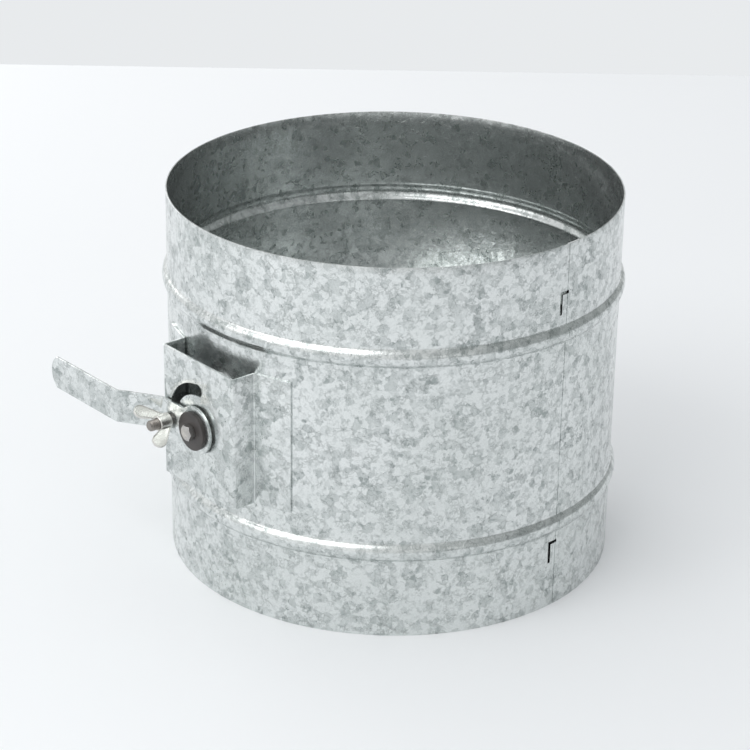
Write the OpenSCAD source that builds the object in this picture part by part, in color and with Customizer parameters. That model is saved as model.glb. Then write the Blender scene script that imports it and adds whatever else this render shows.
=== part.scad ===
// Round volume control damper: a beaded sheet duct with a turning blade,
// a hat bracket on its side and a cranked handle that a wing nut locks.
// The duct stands on its lower end, its axis is +Z, and the bracket faces -Y.
// As drawn the blade is closed and the handle points to -X.

/* [Casing] */
// Outer diameter of the duct
casing_d = 250; // [200:1:315]
// Length of the duct
casing_h = 211; // [200:1:260]
// Thickness of the duct sheet
sheet_t = 0.8; // [0.6:0.1:1.2]
// Distance from each end of the duct to the middle of its bead
bead_inset = 49.8; // [42:0.1:56]
// Width of a bead along the duct
bead_w = 12; // [10:0.5:15]
// Height of a bead over the duct wall
bead_h = 2.6; // [2:0.1:3.4]
// Outside radius of the bends at the foot of a bead
bead_root_r = 2.5; // [2:0.1:3]

/* [Seam] */
// Direction of the seam line around the duct, in degrees from +X
seam_at = 4.6; // [0:0.1:30]
// Width of the seam line
seam_line_w = 0.9; // [0.5:0.1:1.5]
// Depth of the seam line in the sheet
seam_line_depth = 0.35; // [0.2:0.05:0.5]
// Width of the inner lap behind the seam
seam_lap = 9; // [6:0.5:14]
// How far the inner lap stops short of both rims
lap_short = 0.4; // [0.2:0.1:2]
// Distance from the seam line to the upright slits beside it
slit_offset = 4.6; // [3:0.1:8]
// Width of the slits at the seam
slit_w = 1.8; // [1:0.1:2.5]
// Distance from the middle of the upper bead up to its corner slit
slit_over_bead = 23.2; // [20:0.2:28]
// Distance from the middle of the lower bead down to its corner slit
slit_under_bead = 11; // [9:0.2:16]
// Length of the upright slits
slit_len = 12; // [8:0.5:14]

/* [Bracket] */
// Width of the bracket over its side walls
bracket_w = 61; // [56:0.5:70]
// Height of the bracket
bracket_h = 75; // [64:1:84]
// Distance of the bracket's middle below the duct's middle
bracket_drop = 0.5; // [-2:0.5:2]
// Distance from the duct wall to the outer face of the bracket's plate
bracket_reach = 11.25; // [10:0.25:16]
// Thickness of the bracket sheet
bracket_t = 1.2; // [1:0.1:1.5]
// Outside radius of the bracket's bends
bracket_bend_r = 1.6; // [1.4:0.1:2.6]
// Width of each welded flange on the duct
flange_w = 22; // [16:1:26]
// Radius of the middle of the curved slot around the spindle
slot_r = 22.2; // [21.5:0.1:23]
// Width of the curved slot
slot_w = 6.5; // [6.3:0.1:6.8]
// Diameter of the round ends of the slot
slot_end_d = 7.4; // [7:0.1:7.8]

/* [Spindle] */
// Diameter of the spindle
spindle_d = 10; // [9:0.5:11]
// Distance of the spindle below the duct's middle
spindle_drop = 2; // [0:0.5:3]
// Depth of the flat that the blade lies on
spindle_flat = 1; // [0.6:0.1:1.5]
// Width across the squared end under the handle
square_w = 8; // [7:0.1:8.4]
// Length of the spindle beyond its retaining ring
spindle_tail = 2.5; // [1.5:0.5:5]

/* [Bushes] */
// Outer diameter of the bushes
bush_d = 13; // [12.5:0.5:14]
// Diameter of the bush flanges
bush_flange_d = 18; // [16:0.5:20]
// Thickness of the flanges of the two duct bushes, over the duct wall
bush_flange_t = 1.8; // [1.5:0.1:2.5]
// Length of the bracket bush behind the plate
bush_tail = 3; // [2:0.5:4]

/* [Blade] */
// Gap between the blade's edge and the duct's inner lap
blade_gap = 1.4; // [1:0.1:3]
// Thickness of the blade
blade_t = 1.5; // [1:0.1:2]
// Distance from the blade's edge to the middle of each outer clip
clip_inset = 40; // [30:1:60]
// Width of a clip along the spindle
clip_w = 18; // [14:1:22]
// Thickness of a clip
clip_t = 1.5; // [1.2:0.1:1.8]
// Length of each flat ear of a clip
clip_ear = 13; // [12:0.5:16]
// Diameter of the rivets' shanks
rivet_d = 4; // [3.2:0.1:4.2]
// Diameter of the rivets' domed heads
rivet_head_d = 8; // [7:0.2:9]
// Height of the rivets' domed heads
rivet_head_h = 1.4; // [1:0.1:2]

/* [Handle] */
// Width of the handle strap
handle_w = 18.6; // [17:0.2:22]
// Thickness of the handle strap
handle_t = 1.5; // [1.5:0.1:2]
// Radius of the handle's round head
handle_head_r = 13.3; // [12.5:0.1:14]
// Distance from the spindle to the handle's tip
handle_reach = 112.5; // [90:0.5:140]
// Radius of the arc at the handle's tip
handle_tip_r = 11.5; // [11:0.1:13]
// Distance from the spindle to the start of the crank
crank_start = 28.5; // [28:0.5:30]
// Distance from the spindle to the end of the crank
crank_end = 51.5; // [49:0.5:58]
// Distance that the crank lifts the grip off the bracket
crank_lift = 14.5; // [10:0.5:16]
// Middle radius of the two bends of the crank
crank_bend_r = 4; // [3:0.5:5]

/* [Hub] */
// Diameter of the dark disc over the spindle
hub_disc_d = 21.5; // [20:0.5:22]
// Thickness of the dark disc
hub_disc_t = 2.5; // [2:0.1:3]
// Diameter of the hub screw's thread
hub_screw_d = 5; // [4:0.5:5]
// Width across the flats of the hub screw's head
hub_head_w = 8; // [7:0.5:8]
// Height of the hub screw's head
hub_head_h = 3.5; // [3:0.1:4]
// Length of the hub screw's thread in the spindle
hub_screw_grip = 12; // [8:1:20]

/* [Lock] */
// Diameter of the locking bolt
bolt_d = 6; // [5.5:0.1:6]
// Width across the flats of the bolt's head behind the plate
bolt_head_w = 10; // [9:0.5:10.5]
// Height of the bolt's head
bolt_head_h = 4; // [3:0.1:4.4]
// Distance from the plate's outer face to the end of the bolt
bolt_reach = 16.1; // [15:0.1:20]
// Angle of the bolt below the handle's middle line, in degrees
bolt_low = 5; // [3:0.5:6]
// Diameter of the friction washer between plate and handle
washer_d = 12.6; // [12:0.2:14]
// Thickness of the friction washer and of the bracket bush's flange
spacer_t = 1; // [0.8:0.1:1.5]
// Gap between the handle and the loosened wing nut
nut_gap = 1.2; // [0.4:0.1:1.6]
// Diameter of the wing nut's hub at its base
nut_base_d = 9.3; // [9:0.1:10]
// Diameter of the wing nut's hub at its outer face
nut_top_d = 8.6; // [8:0.1:8.9]
// Height of the wing nut's hub
nut_h = 7; // [6:0.5:8]
// Distance from the bolt's axis to the tips of the wings
wing_reach = 13.9; // [13.4:0.1:14.4]
// Radius of the wings' round lobes
wing_lobe_r = 4; // [3.6:0.1:4.2]
// Height of the middle of a lobe over the nut's base
wing_lobe_h = 11.6; // [11:0.1:12.4]
// Thickness of the wings
wing_t = 1.8; // [1.4:0.1:2.2]
// Turn of the wings from the handle's length, in degrees
wing_turn = -34; // [-60:1:60]

/* [Far end] */
// Diameter of the thrust washer on the spindle's far end
thrust_d = 18; // [16:0.5:20]
// Thickness of the thrust washer
thrust_t = 1; // [0.8:0.1:1.5]
// Outer diameter of the retaining ring
ring_d = 15.6; // [14:0.2:17]
// Thickness of the retaining ring
ring_t = 1.2; // [1:0.1:1.5]
// Depth of the retaining ring's groove in the spindle
groove_depth = 0.6; // [0.4:0.05:0.7]
// Opening of the retaining ring
ring_gap = 5; // [3:0.5:6]

/* [Fits] */
// Radial clearance of a turning fit
run_fit = 0.05; // [0.03:0.01:0.1]
// Radial clearance round a fixed shank
shank_fit = 0.05; // [0.02:0.01:0.1]
// Radial clearance of the bolt in the handle and the washer
bolt_fit = 0.2; // [0.1:0.05:0.3]

/* [Hidden] */
$fn = 96;
wall_fn = 720;
cut = 1;

casing_r = casing_d / 2;
inner_r = casing_r - sheet_t;
lap_r = inner_r - sheet_t;
bead_steps = 5;
bead_sum = (pow(bead_h, 2) + pow(bead_w / 2, 2)) / (2 * bead_h);
bead_crest_r = bead_sum - bead_root_r;
bead_swing = asin(bead_w / 2 / bead_sum);
bead_zs = [bead_inset, casing_h - bead_inset];
slit_zs = [bead_zs[0] - slit_under_bead, bead_zs[1] + slit_over_bead];
mm_per_degree = PI * casing_r / 180;

plate_out = casing_r + bracket_reach;
plate_in = plate_out - bracket_t;
bracket_half = bracket_w / 2;
bracket_low = casing_h / 2 - bracket_drop - bracket_h / 2;
spindle_z = casing_h / 2 - spindle_drop;
foot_r = casing_r + bracket_bend_r;
foot_x = bracket_half - bracket_t + bracket_bend_r;
foot_s = sqrt(pow(foot_r, 2) - pow(foot_x, 2));
foot_angle = asin(foot_x / foot_r);
flange_end = foot_angle + flange_w / mm_per_degree;
flange_sink = 0.5;
bend_steps = 5;
flange_steps = 8;

spindle_r = spindle_d / 2;
blade_rest = spindle_r - spindle_flat;
blade_r = lap_r - blade_gap;
flat_half = blade_r + 0.6;
bush_inner = inner_r - 0.5;
bush_bore = spindle_d + 2 * run_fit;
bush_face = casing_r + bush_flange_t;

handle_back = plate_out + spacer_t;
handle_face = handle_back + handle_t;
square_end = handle_face - 0.15;
hub_face = handle_face + hub_disc_t;
crank_angle = atan(crank_lift / (crank_end - crank_start));
crank_back = crank_bend_r * tan(crank_angle / 2);

bolt_hole = bolt_d + 2 * bolt_fit;
bolt_end = plate_out + bolt_reach;
nut_bore = bolt_d + 2 * run_fit;
lobe_x = wing_reach - wing_lobe_r;
wing_root = nut_bore / 2 + 0.4;
wing_foot = 0.8;
wing_blend = 0.05;

rivet_x = spindle_r + shank_fit + clip_t + clip_ear / 2;
clip_bore_r = spindle_r + shank_fit;
clip_spacing = blade_r - clip_inset;
clip_places = [-clip_spacing, 0, clip_spacing];

thrust_face = bush_face + thrust_t;
groove_w = ring_t + 0.1;
groove_r = spindle_r - groove_depth;
ring_face = thrust_face + ring_t;
spindle_far = thrust_face + groove_w + spindle_tail;

// Points on an arc, from angle a0 to a1 in degrees
function arc(cx, cy, r, a0, a1, steps) = [
    for (i = [0 : steps])
        let (a = a0 + (a1 - a0) * i / steps)
        [cx + r * cos(a), cy + r * sin(a)]
];

// The same points from last to first
function backwards(points) = [for (i = [len(points) - 1 : -1 : 0]) points[i]];

// Points mirrored to the other side of the middle line
function mirrored(points) = [for (p = points) [-p[0], p[1]]];

// One bead in the duct's section, moved outwards by off
function bead(z, off) = concat(
    arc(casing_r + bead_root_r, z - bead_w / 2, bead_root_r - off,
        180, 180 - bead_swing, bead_steps),
    arc(casing_r + bead_h - bead_crest_r, z, bead_crest_r + off,
        -bead_swing, bead_swing, 2 * bead_steps),
    arc(casing_r + bead_root_r, z + bead_w / 2, bead_root_r - off,
        180 + bead_swing, 180, bead_steps)
);

// The duct's section from end to end, moved outwards by off and longer by over
function duct_line(off, over) = concat(
    [[casing_r + off, -over]],
    bead(bead_zs[0], off),
    bead(bead_zs[1], off),
    [[casing_r + off, casing_h + over]]
);

// The flat shape between two such lines
module duct_band(outer_off, inner_off, over) {
    polygon(concat(duct_line(outer_off, over), backwards(duct_line(inner_off, over))));
}

// A cutter through the duct wall, deg away from +X and z above the lower end
module wall_slit(deg, z, across, high) {
    rotate([0, 0, deg])
        translate([casing_r - 2 * cut, -across / 2, z - high / 2])
            cube([4 * cut, across, high]);
}

// Turns local +Z to -Y, from the duct's axis out through the bracket
module to_handle() {
    translate([0, 0, spindle_z])
        rotate([90, 0, 0])
            children();
}

// Turns local +Z to +Y, from the duct's axis out through the far wall
module to_far_wall() {
    translate([0, 0, spindle_z])
        rotate([-90, 0, 0])
            children();
}

// Moves a shape from the spindle's axis to the bolt's, without turning it
module at_bolt() {
    translate([-slot_r * cos(bolt_low), -slot_r * sin(bolt_low), 0])
        children();
}

// A cylinder between two distances on the local Z axis
module disc(from, to, d) {
    translate([0, 0, from])
        cylinder(h = to - from, d = d);
}

// A domed head over the local XY plane, flat at its foot
module dome(d, h) {
    ball_r = (pow(d / 2, 2) + pow(h, 2)) / (2 * h);
    rotate_extrude()
        intersection() {
            translate([0, h - ball_r])
                circle(r = ball_r);
            square([d, h]);
        }
}

// A hexagon head on the local XY plane, given across its flats
module hex_head(across, h) {
    cylinder(h = h, d = across / cos(30), $fn = 6);
}

// Beaded duct with its lap seam, corner slits and two spindle holes
module casing() {
    upright_at = seam_at - slit_offset / mm_per_degree;
    corner_w = slit_offset + slit_w;
    corner_at = seam_at - slit_offset / 2 / mm_per_degree;
    color("lightsteelblue")
        difference() {
            union() {
                rotate_extrude()
                    duct_band(0, -sheet_t, 0);
                rotate([0, 0, seam_at])
                    rotate_extrude(angle = seam_lap / mm_per_degree)
                        duct_band(-sheet_t / 2, -2 * sheet_t, -lap_short);
            }
            rotate([90, 0, seam_at])
                linear_extrude(seam_line_w, center = true)
                    duct_band(cut, -seam_line_depth, cut);
            for (z = slit_zs) {
                wall_slit(corner_at, z, corner_w, slit_w);
                wall_slit(upright_at, z - slit_len / 2, slit_w, slit_len);
            }
            to_handle()
                disc(lap_r - cut, casing_r + cut, bush_d);
            to_far_wall()
                disc(lap_r - cut, casing_r + cut, bush_d);
        }
}

// Half of the bracket's section, outer side from flange edge to plate
function bracket_outer() = concat(
    arc(0, 0, casing_r + bracket_t, 90 - flange_end, 90 - foot_angle, flange_steps),
    arc(foot_x, foot_s, bracket_bend_r - bracket_t, 270 - foot_angle, 180, bend_steps),
    arc(bracket_half - bracket_bend_r, plate_out - bracket_bend_r, bracket_bend_r,
        0, 90, bend_steps)
);

// The same half on the inner side, sunk a little below the duct wall
function bracket_inner() = concat(
    arc(0, 0, casing_r - flange_sink, 90 - flange_end, 90 - foot_angle, flange_steps),
    arc(foot_x, foot_s, bracket_bend_r, 270 - foot_angle, 180, bend_steps),
    arc(bracket_half - bracket_bend_r, plate_out - bracket_bend_r,
        bracket_bend_r - bracket_t, 0, 90, bend_steps)
);

// Hat bracket folded from one sheet, with the curved slot and the bush hole
module bracket() {
    color("lightgrey")
        difference() {
            translate([0, 0, bracket_low])
                linear_extrude(bracket_h)
                    mirror([0, 1])
                        polygon(concat(
                            bracket_outer(),
                            backwards(mirrored(bracket_outer())),
                            mirrored(bracket_inner()),
                            backwards(bracket_inner())
                        ));
            cylinder(h = casing_h, r = casing_r, $fn = wall_fn);
            to_handle() {
                disc(plate_in - cut, plate_out + cut, bush_d);
                translate([0, 0, plate_in - cut])
                    rotate([0, 0, 90])
                        rotate_extrude(angle = 90 + bolt_low)
                            translate([slot_r - slot_w / 2, 0])
                                square([slot_w, bracket_t + 2 * cut]);
                for (a = [90, 180 + bolt_low])
                    rotate([0, 0, a])
                        translate([slot_r, 0, 0])
                            disc(plate_in - cut, plate_out + cut, slot_end_d);
            }
        }
}

// Nylon bush in the bracket's plate, its flange under the handle
module bracket_bush() {
    color("ivory")
        to_handle()
            difference() {
                union() {
                    disc(plate_in - bush_tail, plate_out, bush_d);
                    disc(plate_out, handle_back, bush_flange_d);
                }
                disc(plate_in - bush_tail - cut, handle_back + cut, bush_bore);
            }
}

// Nylon bush in the duct wall, its flange hollowed to lie on the duct
module duct_bush() {
    difference() {
        disc(bush_inner, bush_face, bush_flange_d);
        difference() {
            disc(bush_inner - cut, bush_face - cut, bush_flange_d + 2 * cut);
            disc(bush_inner - 2 * cut, bush_face + cut, bush_d);
            rotate([90, 0, 0])
                difference() {
                    translate([0, 0, -bush_flange_d])
                        cylinder(h = 2 * bush_flange_d, r = casing_r + 4 * bush_flange_t);
                    translate([0, 0, -bush_flange_d - cut])
                        cylinder(h = 2 * bush_flange_d + 2 * cut, r = casing_r, $fn = wall_fn);
                }
        }
        disc(bush_inner - cut, bush_face + cut, bush_bore);
    }
}

module drive_bush() {
    color("ivory")
        to_handle()
            duct_bush();
}

module idle_bush() {
    color("ivory")
        to_far_wall()
            duct_bush();
}

// Shaft across the duct, with a flat for the blade and a squared drive end
module spindle() {
    color("silver")
        to_handle()
            difference() {
                union() {
                    disc(-spindle_far, handle_back, spindle_d);
                    intersection() {
                        disc(handle_back - cut, square_end, spindle_d);
                        translate([-square_w / 2, -square_w / 2, handle_back - 2 * cut])
                            cube([square_w, square_w, handle_t + 4 * cut]);
                    }
                }
                translate([-spindle_d, blade_rest, -flat_half])
                    cube([2 * spindle_d, spindle_d, 2 * flat_half]);
                disc(handle_face - handle_t - hub_screw_grip - cut, handle_face + cut,
                    hub_screw_d + 2 * shank_fit);
                difference() {
                    disc(-thrust_face - groove_w, -thrust_face, 2 * spindle_d);
                    disc(-spindle_far - cut, 0, 2 * groove_r);
                }
            }
}

// Round blade beside the spindle, drawn closed
module blade() {
    color("gainsboro")
        translate([0, 0, spindle_z + blade_rest])
            difference() {
                cylinder(h = blade_t, r = blade_r);
                for (y = clip_places)
                    for (x = [-rivet_x, rivet_x])
                        translate([x, y, -cut])
                            cylinder(h = blade_t + 2 * cut, d = rivet_d + 2 * shank_fit);
            }
}

// Section of a clip across the spindle: a round saddle with two flat ears
module clip_section() {
    reach = clip_bore_r + clip_t;
    difference() {
        union() {
            circle(r = reach);
            translate([-reach, 0])
                square([2 * reach, blade_rest]);
            translate([-reach - clip_ear, blade_rest - clip_t])
                square([2 * reach + 2 * clip_ear, clip_t]);
        }
        circle(r = clip_bore_r);
        translate([-clip_bore_r, 0])
            square([2 * clip_bore_r, spindle_d]);
        translate([-spindle_d, blade_rest])
            square([2 * spindle_d, spindle_d]);
    }
}

// Saddle clip that holds the blade to the spindle at distance y
module clip(y) {
    color("silver")
        translate([0, 0, spindle_z])
            difference() {
                translate([0, y + clip_w / 2, 0])
                    rotate([90, 0, 0])
                        linear_extrude(clip_w)
                            clip_section();
                for (x = [-rivet_x, rivet_x])
                    translate([x, y, blade_rest - clip_t - cut])
                        cylinder(h = clip_t + 2 * cut, d = rivet_d + 2 * shank_fit);
            }
}

module clip_drive_end() clip(-clip_spacing);
module clip_middle() clip(0);
module clip_idle_end() clip(clip_spacing);

// One rivet through the blade and a clip's ear, at the origin of the ear's face
module rivet() {
    translate([0, 0, -clip_t])
        cylinder(h = clip_t + blade_t, d = rivet_d);
    translate([0, 0, blade_t])
        dome(rivet_head_d, rivet_head_h);
    translate([0, 0, -clip_t])
        mirror([0, 0, 1])
            dome(rivet_head_d - 1.6, rivet_head_h);
}

// Two rivets in each of the three clips
module clip_rivets() {
    color("darkgrey")
        for (y = clip_places)
            for (x = [-rivet_x, rivet_x])
                translate([x, y, spindle_z + blade_rest])
                    rivet();
}

// Side of the cranked strap, off above its middle plane, from head to tip
function crank_line(off) = concat(
    [[handle_head_r, off]],
    arc(-crank_start + crank_back, crank_bend_r, crank_bend_r - off,
        270, 270 - crank_angle, bend_steps),
    arc(-crank_end - crank_back, crank_lift - crank_bend_r, crank_bend_r + off,
        90 - crank_angle, 90, bend_steps),
    [[-handle_reach - cut, crank_lift + off]]
);

// Face of the strap: round head, straight sides and an arc at the tip
module handle_outline() {
    tip_x = -handle_reach + handle_tip_r;
    intersection() {
        union() {
            circle(r = handle_head_r);
            translate([-handle_reach, -handle_w / 2])
                square([handle_reach, handle_w]);
        }
        union() {
            translate([tip_x, 0])
                circle(r = handle_tip_r);
            translate([tip_x, -handle_reach / 2])
                square([handle_reach + handle_head_r, handle_reach]);
        }
    }
}

// Cranked handle, one piece of strip, keyed on the spindle's squared end
module handle() {
    mid = handle_back + handle_t / 2;
    color("silver")
        to_handle()
            difference() {
                intersection() {
                    translate([0, handle_head_r + cut, mid])
                        rotate([90, 0, 0])
                            linear_extrude(2 * (handle_head_r + cut))
                                polygon(concat(
                                    crank_line(handle_t / 2),
                                    backwards(crank_line(-handle_t / 2))
                                ));
                    translate([0, 0, handle_back - cut])
                        linear_extrude(crank_lift + handle_t + 2 * cut)
                            handle_outline();
                }
                intersection() {
                    disc(handle_back - cut, handle_face + cut, spindle_d + 2 * shank_fit);
                    translate([-square_w / 2 - shank_fit, -square_w / 2 - shank_fit,
                        handle_back - 2 * cut])
                        cube([square_w + 2 * shank_fit, square_w + 2 * shank_fit,
                            handle_t + 4 * cut]);
                }
                at_bolt()
                    disc(handle_back - cut, handle_face + cut, bolt_hole);
            }
}

// Dark disc that clamps the handle onto the spindle
module hub_disc() {
    color("dimgrey")
        to_handle()
            difference() {
                disc(handle_face, hub_face, hub_disc_d);
                disc(handle_face - cut, hub_face + cut, hub_screw_d + 2 * bolt_fit);
            }
}

// Hexagon screw in the end of the spindle, a corner of its head to the left
module hub_screw() {
    color("silver")
        to_handle() {
            disc(handle_back - hub_screw_grip, hub_face, hub_screw_d);
            translate([0, 0, hub_face])
                hex_head(hub_head_w, hub_head_h);
        }
}

// Hexagon bolt, its head behind the plate, through slot, washer and handle
module lock_bolt() {
    color("silver")
        to_handle()
            at_bolt() {
                translate([0, 0, plate_in - bolt_head_h])
                    hex_head(bolt_head_w, bolt_head_h);
                disc(plate_in, bolt_end, bolt_d);
            }
}

// Friction washer between the plate and the handle
module friction_washer() {
    color("darkgrey")
        to_handle()
            at_bolt()
                difference() {
                    disc(plate_out, handle_back, washer_d);
                    disc(plate_out - cut, handle_back + cut, bolt_hole);
                }
}

// Where a line from point p touches a circle round c, on one side of it
function touching(p, c, r, side) =
    let (v = p - c, a = atan2(v[1], v[0]) + side * acos(r / norm(v)))
    c + r * [cos(a), sin(a)];

// One wing in the XZ plane: a neck that widens into a round lobe
module wing() {
    lobe = [lobe_x, wing_lobe_h];
    foot = [nut_base_d / 2, wing_foot];
    brow = [wing_root, nut_h - wing_foot / 2];
    neck_r = wing_lobe_r - wing_blend;
    translate([0, wing_t / 2, 0])
        rotate([90, 0, 0])
            linear_extrude(wing_t)
                union() {
                    translate(lobe)
                        circle(r = wing_lobe_r);
                    polygon([
                        [wing_root, wing_foot],
                        foot,
                        touching(foot, lobe, neck_r, 1),
                        touching(brow, lobe, neck_r, -1),
                        brow
                    ]);
                }
}

// Wing nut on the bolt, turned as it was left
module wing_nut() {
    color("gainsboro")
        to_handle()
            at_bolt()
                translate([0, 0, handle_face + nut_gap])
                    rotate([0, 0, wing_turn])
                        difference() {
                            union() {
                                cylinder(h = nut_h, d1 = nut_base_d, d2 = nut_top_d);
                                wing();
                                rotate([0, 0, 180])
                                    wing();
                            }
                            disc(-cut, nut_h + cut, nut_bore);
                        }
}

// Plain washer between the far bush and the retaining ring
module thrust_washer() {
    color("silver")
        to_far_wall()
            difference() {
                disc(bush_face, thrust_face, thrust_d);
                disc(bush_face - cut, thrust_face + cut, bush_bore);
            }
}

// Open ring in the spindle's groove, its mouth downwards
module retaining_ring() {
    color("dimgrey")
        to_far_wall()
            difference() {
                disc(thrust_face, ring_face, ring_d);
                disc(thrust_face - cut, ring_face + cut, 2 * (groove_r + shank_fit));
                translate([-ring_gap / 2, 0, thrust_face - cut])
                    cube([ring_gap, ring_d, ring_t + 2 * cut]);
            }
}

casing();
bracket();
bracket_bush();
drive_bush();
idle_bush();
spindle();
blade();
clip_drive_end();
clip_middle();
clip_idle_end();
clip_rivets();
handle();
hub_disc();
hub_screw();
lock_bolt();
friction_washer();
wing_nut();
thrust_washer();
retaining_ring();
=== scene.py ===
"""Looks of a round volume control damper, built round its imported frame.

Lengths are given in millimetres and become metres where a mesh is made. The duct's axis is +Z, its lower
end stands at z = 0, and the bracket with the handle faces -Y.
"""

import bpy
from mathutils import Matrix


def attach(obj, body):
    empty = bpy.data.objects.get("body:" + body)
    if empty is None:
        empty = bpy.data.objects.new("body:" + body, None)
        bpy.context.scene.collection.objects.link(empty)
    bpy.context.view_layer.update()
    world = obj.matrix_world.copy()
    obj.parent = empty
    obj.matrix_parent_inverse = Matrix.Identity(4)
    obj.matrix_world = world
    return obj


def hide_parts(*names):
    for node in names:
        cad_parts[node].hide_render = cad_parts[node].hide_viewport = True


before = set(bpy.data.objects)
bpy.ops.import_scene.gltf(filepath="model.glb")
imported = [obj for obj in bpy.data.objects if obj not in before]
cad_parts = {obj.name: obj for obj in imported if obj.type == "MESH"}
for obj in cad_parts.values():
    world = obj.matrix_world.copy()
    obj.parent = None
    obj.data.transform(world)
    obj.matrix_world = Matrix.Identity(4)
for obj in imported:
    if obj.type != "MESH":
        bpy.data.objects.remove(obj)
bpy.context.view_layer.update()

import logging
import math
from dataclasses import dataclass
from enum import Enum
from typing import Callable, Iterable, Sequence

import bmesh
import bpy
from bmesh.types import BMEdge, BMesh, BMFace, BMVert
from mathutils import Matrix, Vector, noise

MM = 0.001
PHOTO_SIDE = 750
# Face attribute of painted shade on the duct: the slits' cut faces get a painted shadow, near black, and the inner wall
# gets a lighter painted shade.
PAINTED_SHADE_SHARE = "painted_shade_share"
CUT_PAINTED_SHADOW = 1.0
INNER_PAINTED_SHADE = 0.16

log = logging.getLogger("damper")

Point = tuple[float, float]
Colour = tuple[float, float, float]


class Body(Enum):
    """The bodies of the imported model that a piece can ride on."""

    DUCT = "duct"
    BLADE_SET = "blade_set"
    NUT = "nut"


class Slot(Enum):
    """The names of the material slots."""

    SHEET = "galvanised_sheet"
    STEEL = "bright_steel"
    NICKEL = "nickel_plate"
    DARK = "dark_disc"
    NYLON = "nylon"
    SPRING = "black_spring_steel"


def arc(cx: float, cy: float, radius: float, start: float, end: float, steps: int) -> list[Point]:
    """Works out points on an arc.

    Args:
        cx: First coordinate of the centre.
        cy: Second coordinate of the centre.
        radius: Radius of the arc.
        start: First angle in degrees.
        end: Last angle in degrees.
        steps: Number of chords.

    Returns:
        steps + 1 points from start to end.
    """
    angles = [math.radians(start + (end - start) * i / steps) for i in range(steps + 1)]
    return [(cx + radius * math.cos(a), cy + radius * math.sin(a)) for a in angles]


def toward_handle(spindle_z: float) -> Matrix:
    """Places a shape that is modelled along +Z on the spindle's axis, pointing to -Y.

    Args:
        spindle_z: Height of the spindle in millimetres.

    Returns:
        The placing matrix, in millimetres.
    """
    return Matrix.Translation((0, 0, spindle_z)) @ Matrix.Rotation(math.radians(90), 4, "X")


def toward_far_wall(spindle_z: float) -> Matrix:
    """Places a shape that is modelled along +Z on the spindle's axis, pointing to +Y.

    Args:
        spindle_z: Height of the spindle in millimetres.

    Returns:
        The placing matrix, in millimetres.
    """
    return Matrix.Translation((0, 0, spindle_z)) @ Matrix.Rotation(math.radians(-90), 4, "X")


class Canvas:
    """A node tree that is filled by short calls.

    Args:
        tree: The node tree to fill.
    """

    def __init__(self, tree: bpy.types.NodeTree) -> None:
        self.tree = tree

    def put(self, kind: str, setup: dict | None = None, **inputs: object) -> bpy.types.Node:
        """Adds one node.

        Args:
            kind: The node's type name without the word ShaderNode.
            setup: Properties of the node.
            **inputs: Sockets by name, with _ for a space, each a socket to link or a constant.

        Returns:
            The new node.
        """
        node = self.tree.nodes.new("ShaderNode" + kind)
        for key, value in (setup or {}).items():
            setattr(node, key, value)
        for key, value in inputs.items():
            self.feed(node.inputs[key.replace("_", " ")], value)
        return node

    def feed(self, socket: bpy.types.NodeSocket, value: object) -> None:
        """Links a socket to another, or sets its constant."""
        if isinstance(value, bpy.types.NodeSocket):
            self.tree.links.new(value, socket)
        else:
            socket.default_value = value

    def sum(self, operation: str, first: object, second: object) -> bpy.types.NodeSocket:
        """Adds a Math node and gives its result."""
        node = self.put("Math", {"operation": operation})
        self.feed(node.inputs[0], first)
        self.feed(node.inputs[1], second)
        return node.outputs[0]

    def blend(self, factor: object, low: object, high: object) -> bpy.types.NodeSocket:
        """Adds a Mix node for colours and gives its result."""
        node = self.put("Mix", {"data_type": "RGBA"})
        self.feed(node.inputs[0], factor)
        self.feed(node.inputs[6], low)
        self.feed(node.inputs[7], high)
        return node.outputs[2]

    def span(self, value: object, low: float, high: float, to_low: float, to_high: float) -> bpy.types.NodeSocket:
        """Adds a clamped Map Range node and gives its result."""
        node = self.put("MapRange", {"clamp": True}, Value=value)
        for name, number in (("From Min", low), ("From Max", high), ("To Min", to_low), ("To Max", to_high)):
            node.inputs[name].default_value = number
        return node.outputs[0]


def new_group(name: str, takes: dict[str, str], gives: dict[str, str]) -> tuple[Canvas, bpy.types.Node, bpy.types.Node]:
    """Starts a shader node group.

    Args:
        name: The group's name.
        takes: Input names and their socket kinds.
        gives: Output names and their socket kinds.

    Returns:
        The group's canvas, its input node and its output node.
    """
    tree = bpy.data.node_groups.new(name, "ShaderNodeTree")
    for label, kind in takes.items():
        tree.interface.new_socket(label, in_out="INPUT", socket_type="NodeSocket" + kind)
    for label, kind in gives.items():
        tree.interface.new_socket(label, in_out="OUTPUT", socket_type="NodeSocket" + kind)
    return Canvas(tree), tree.nodes.new("NodeGroupInput"), tree.nodes.new("NodeGroupOutput")


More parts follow.
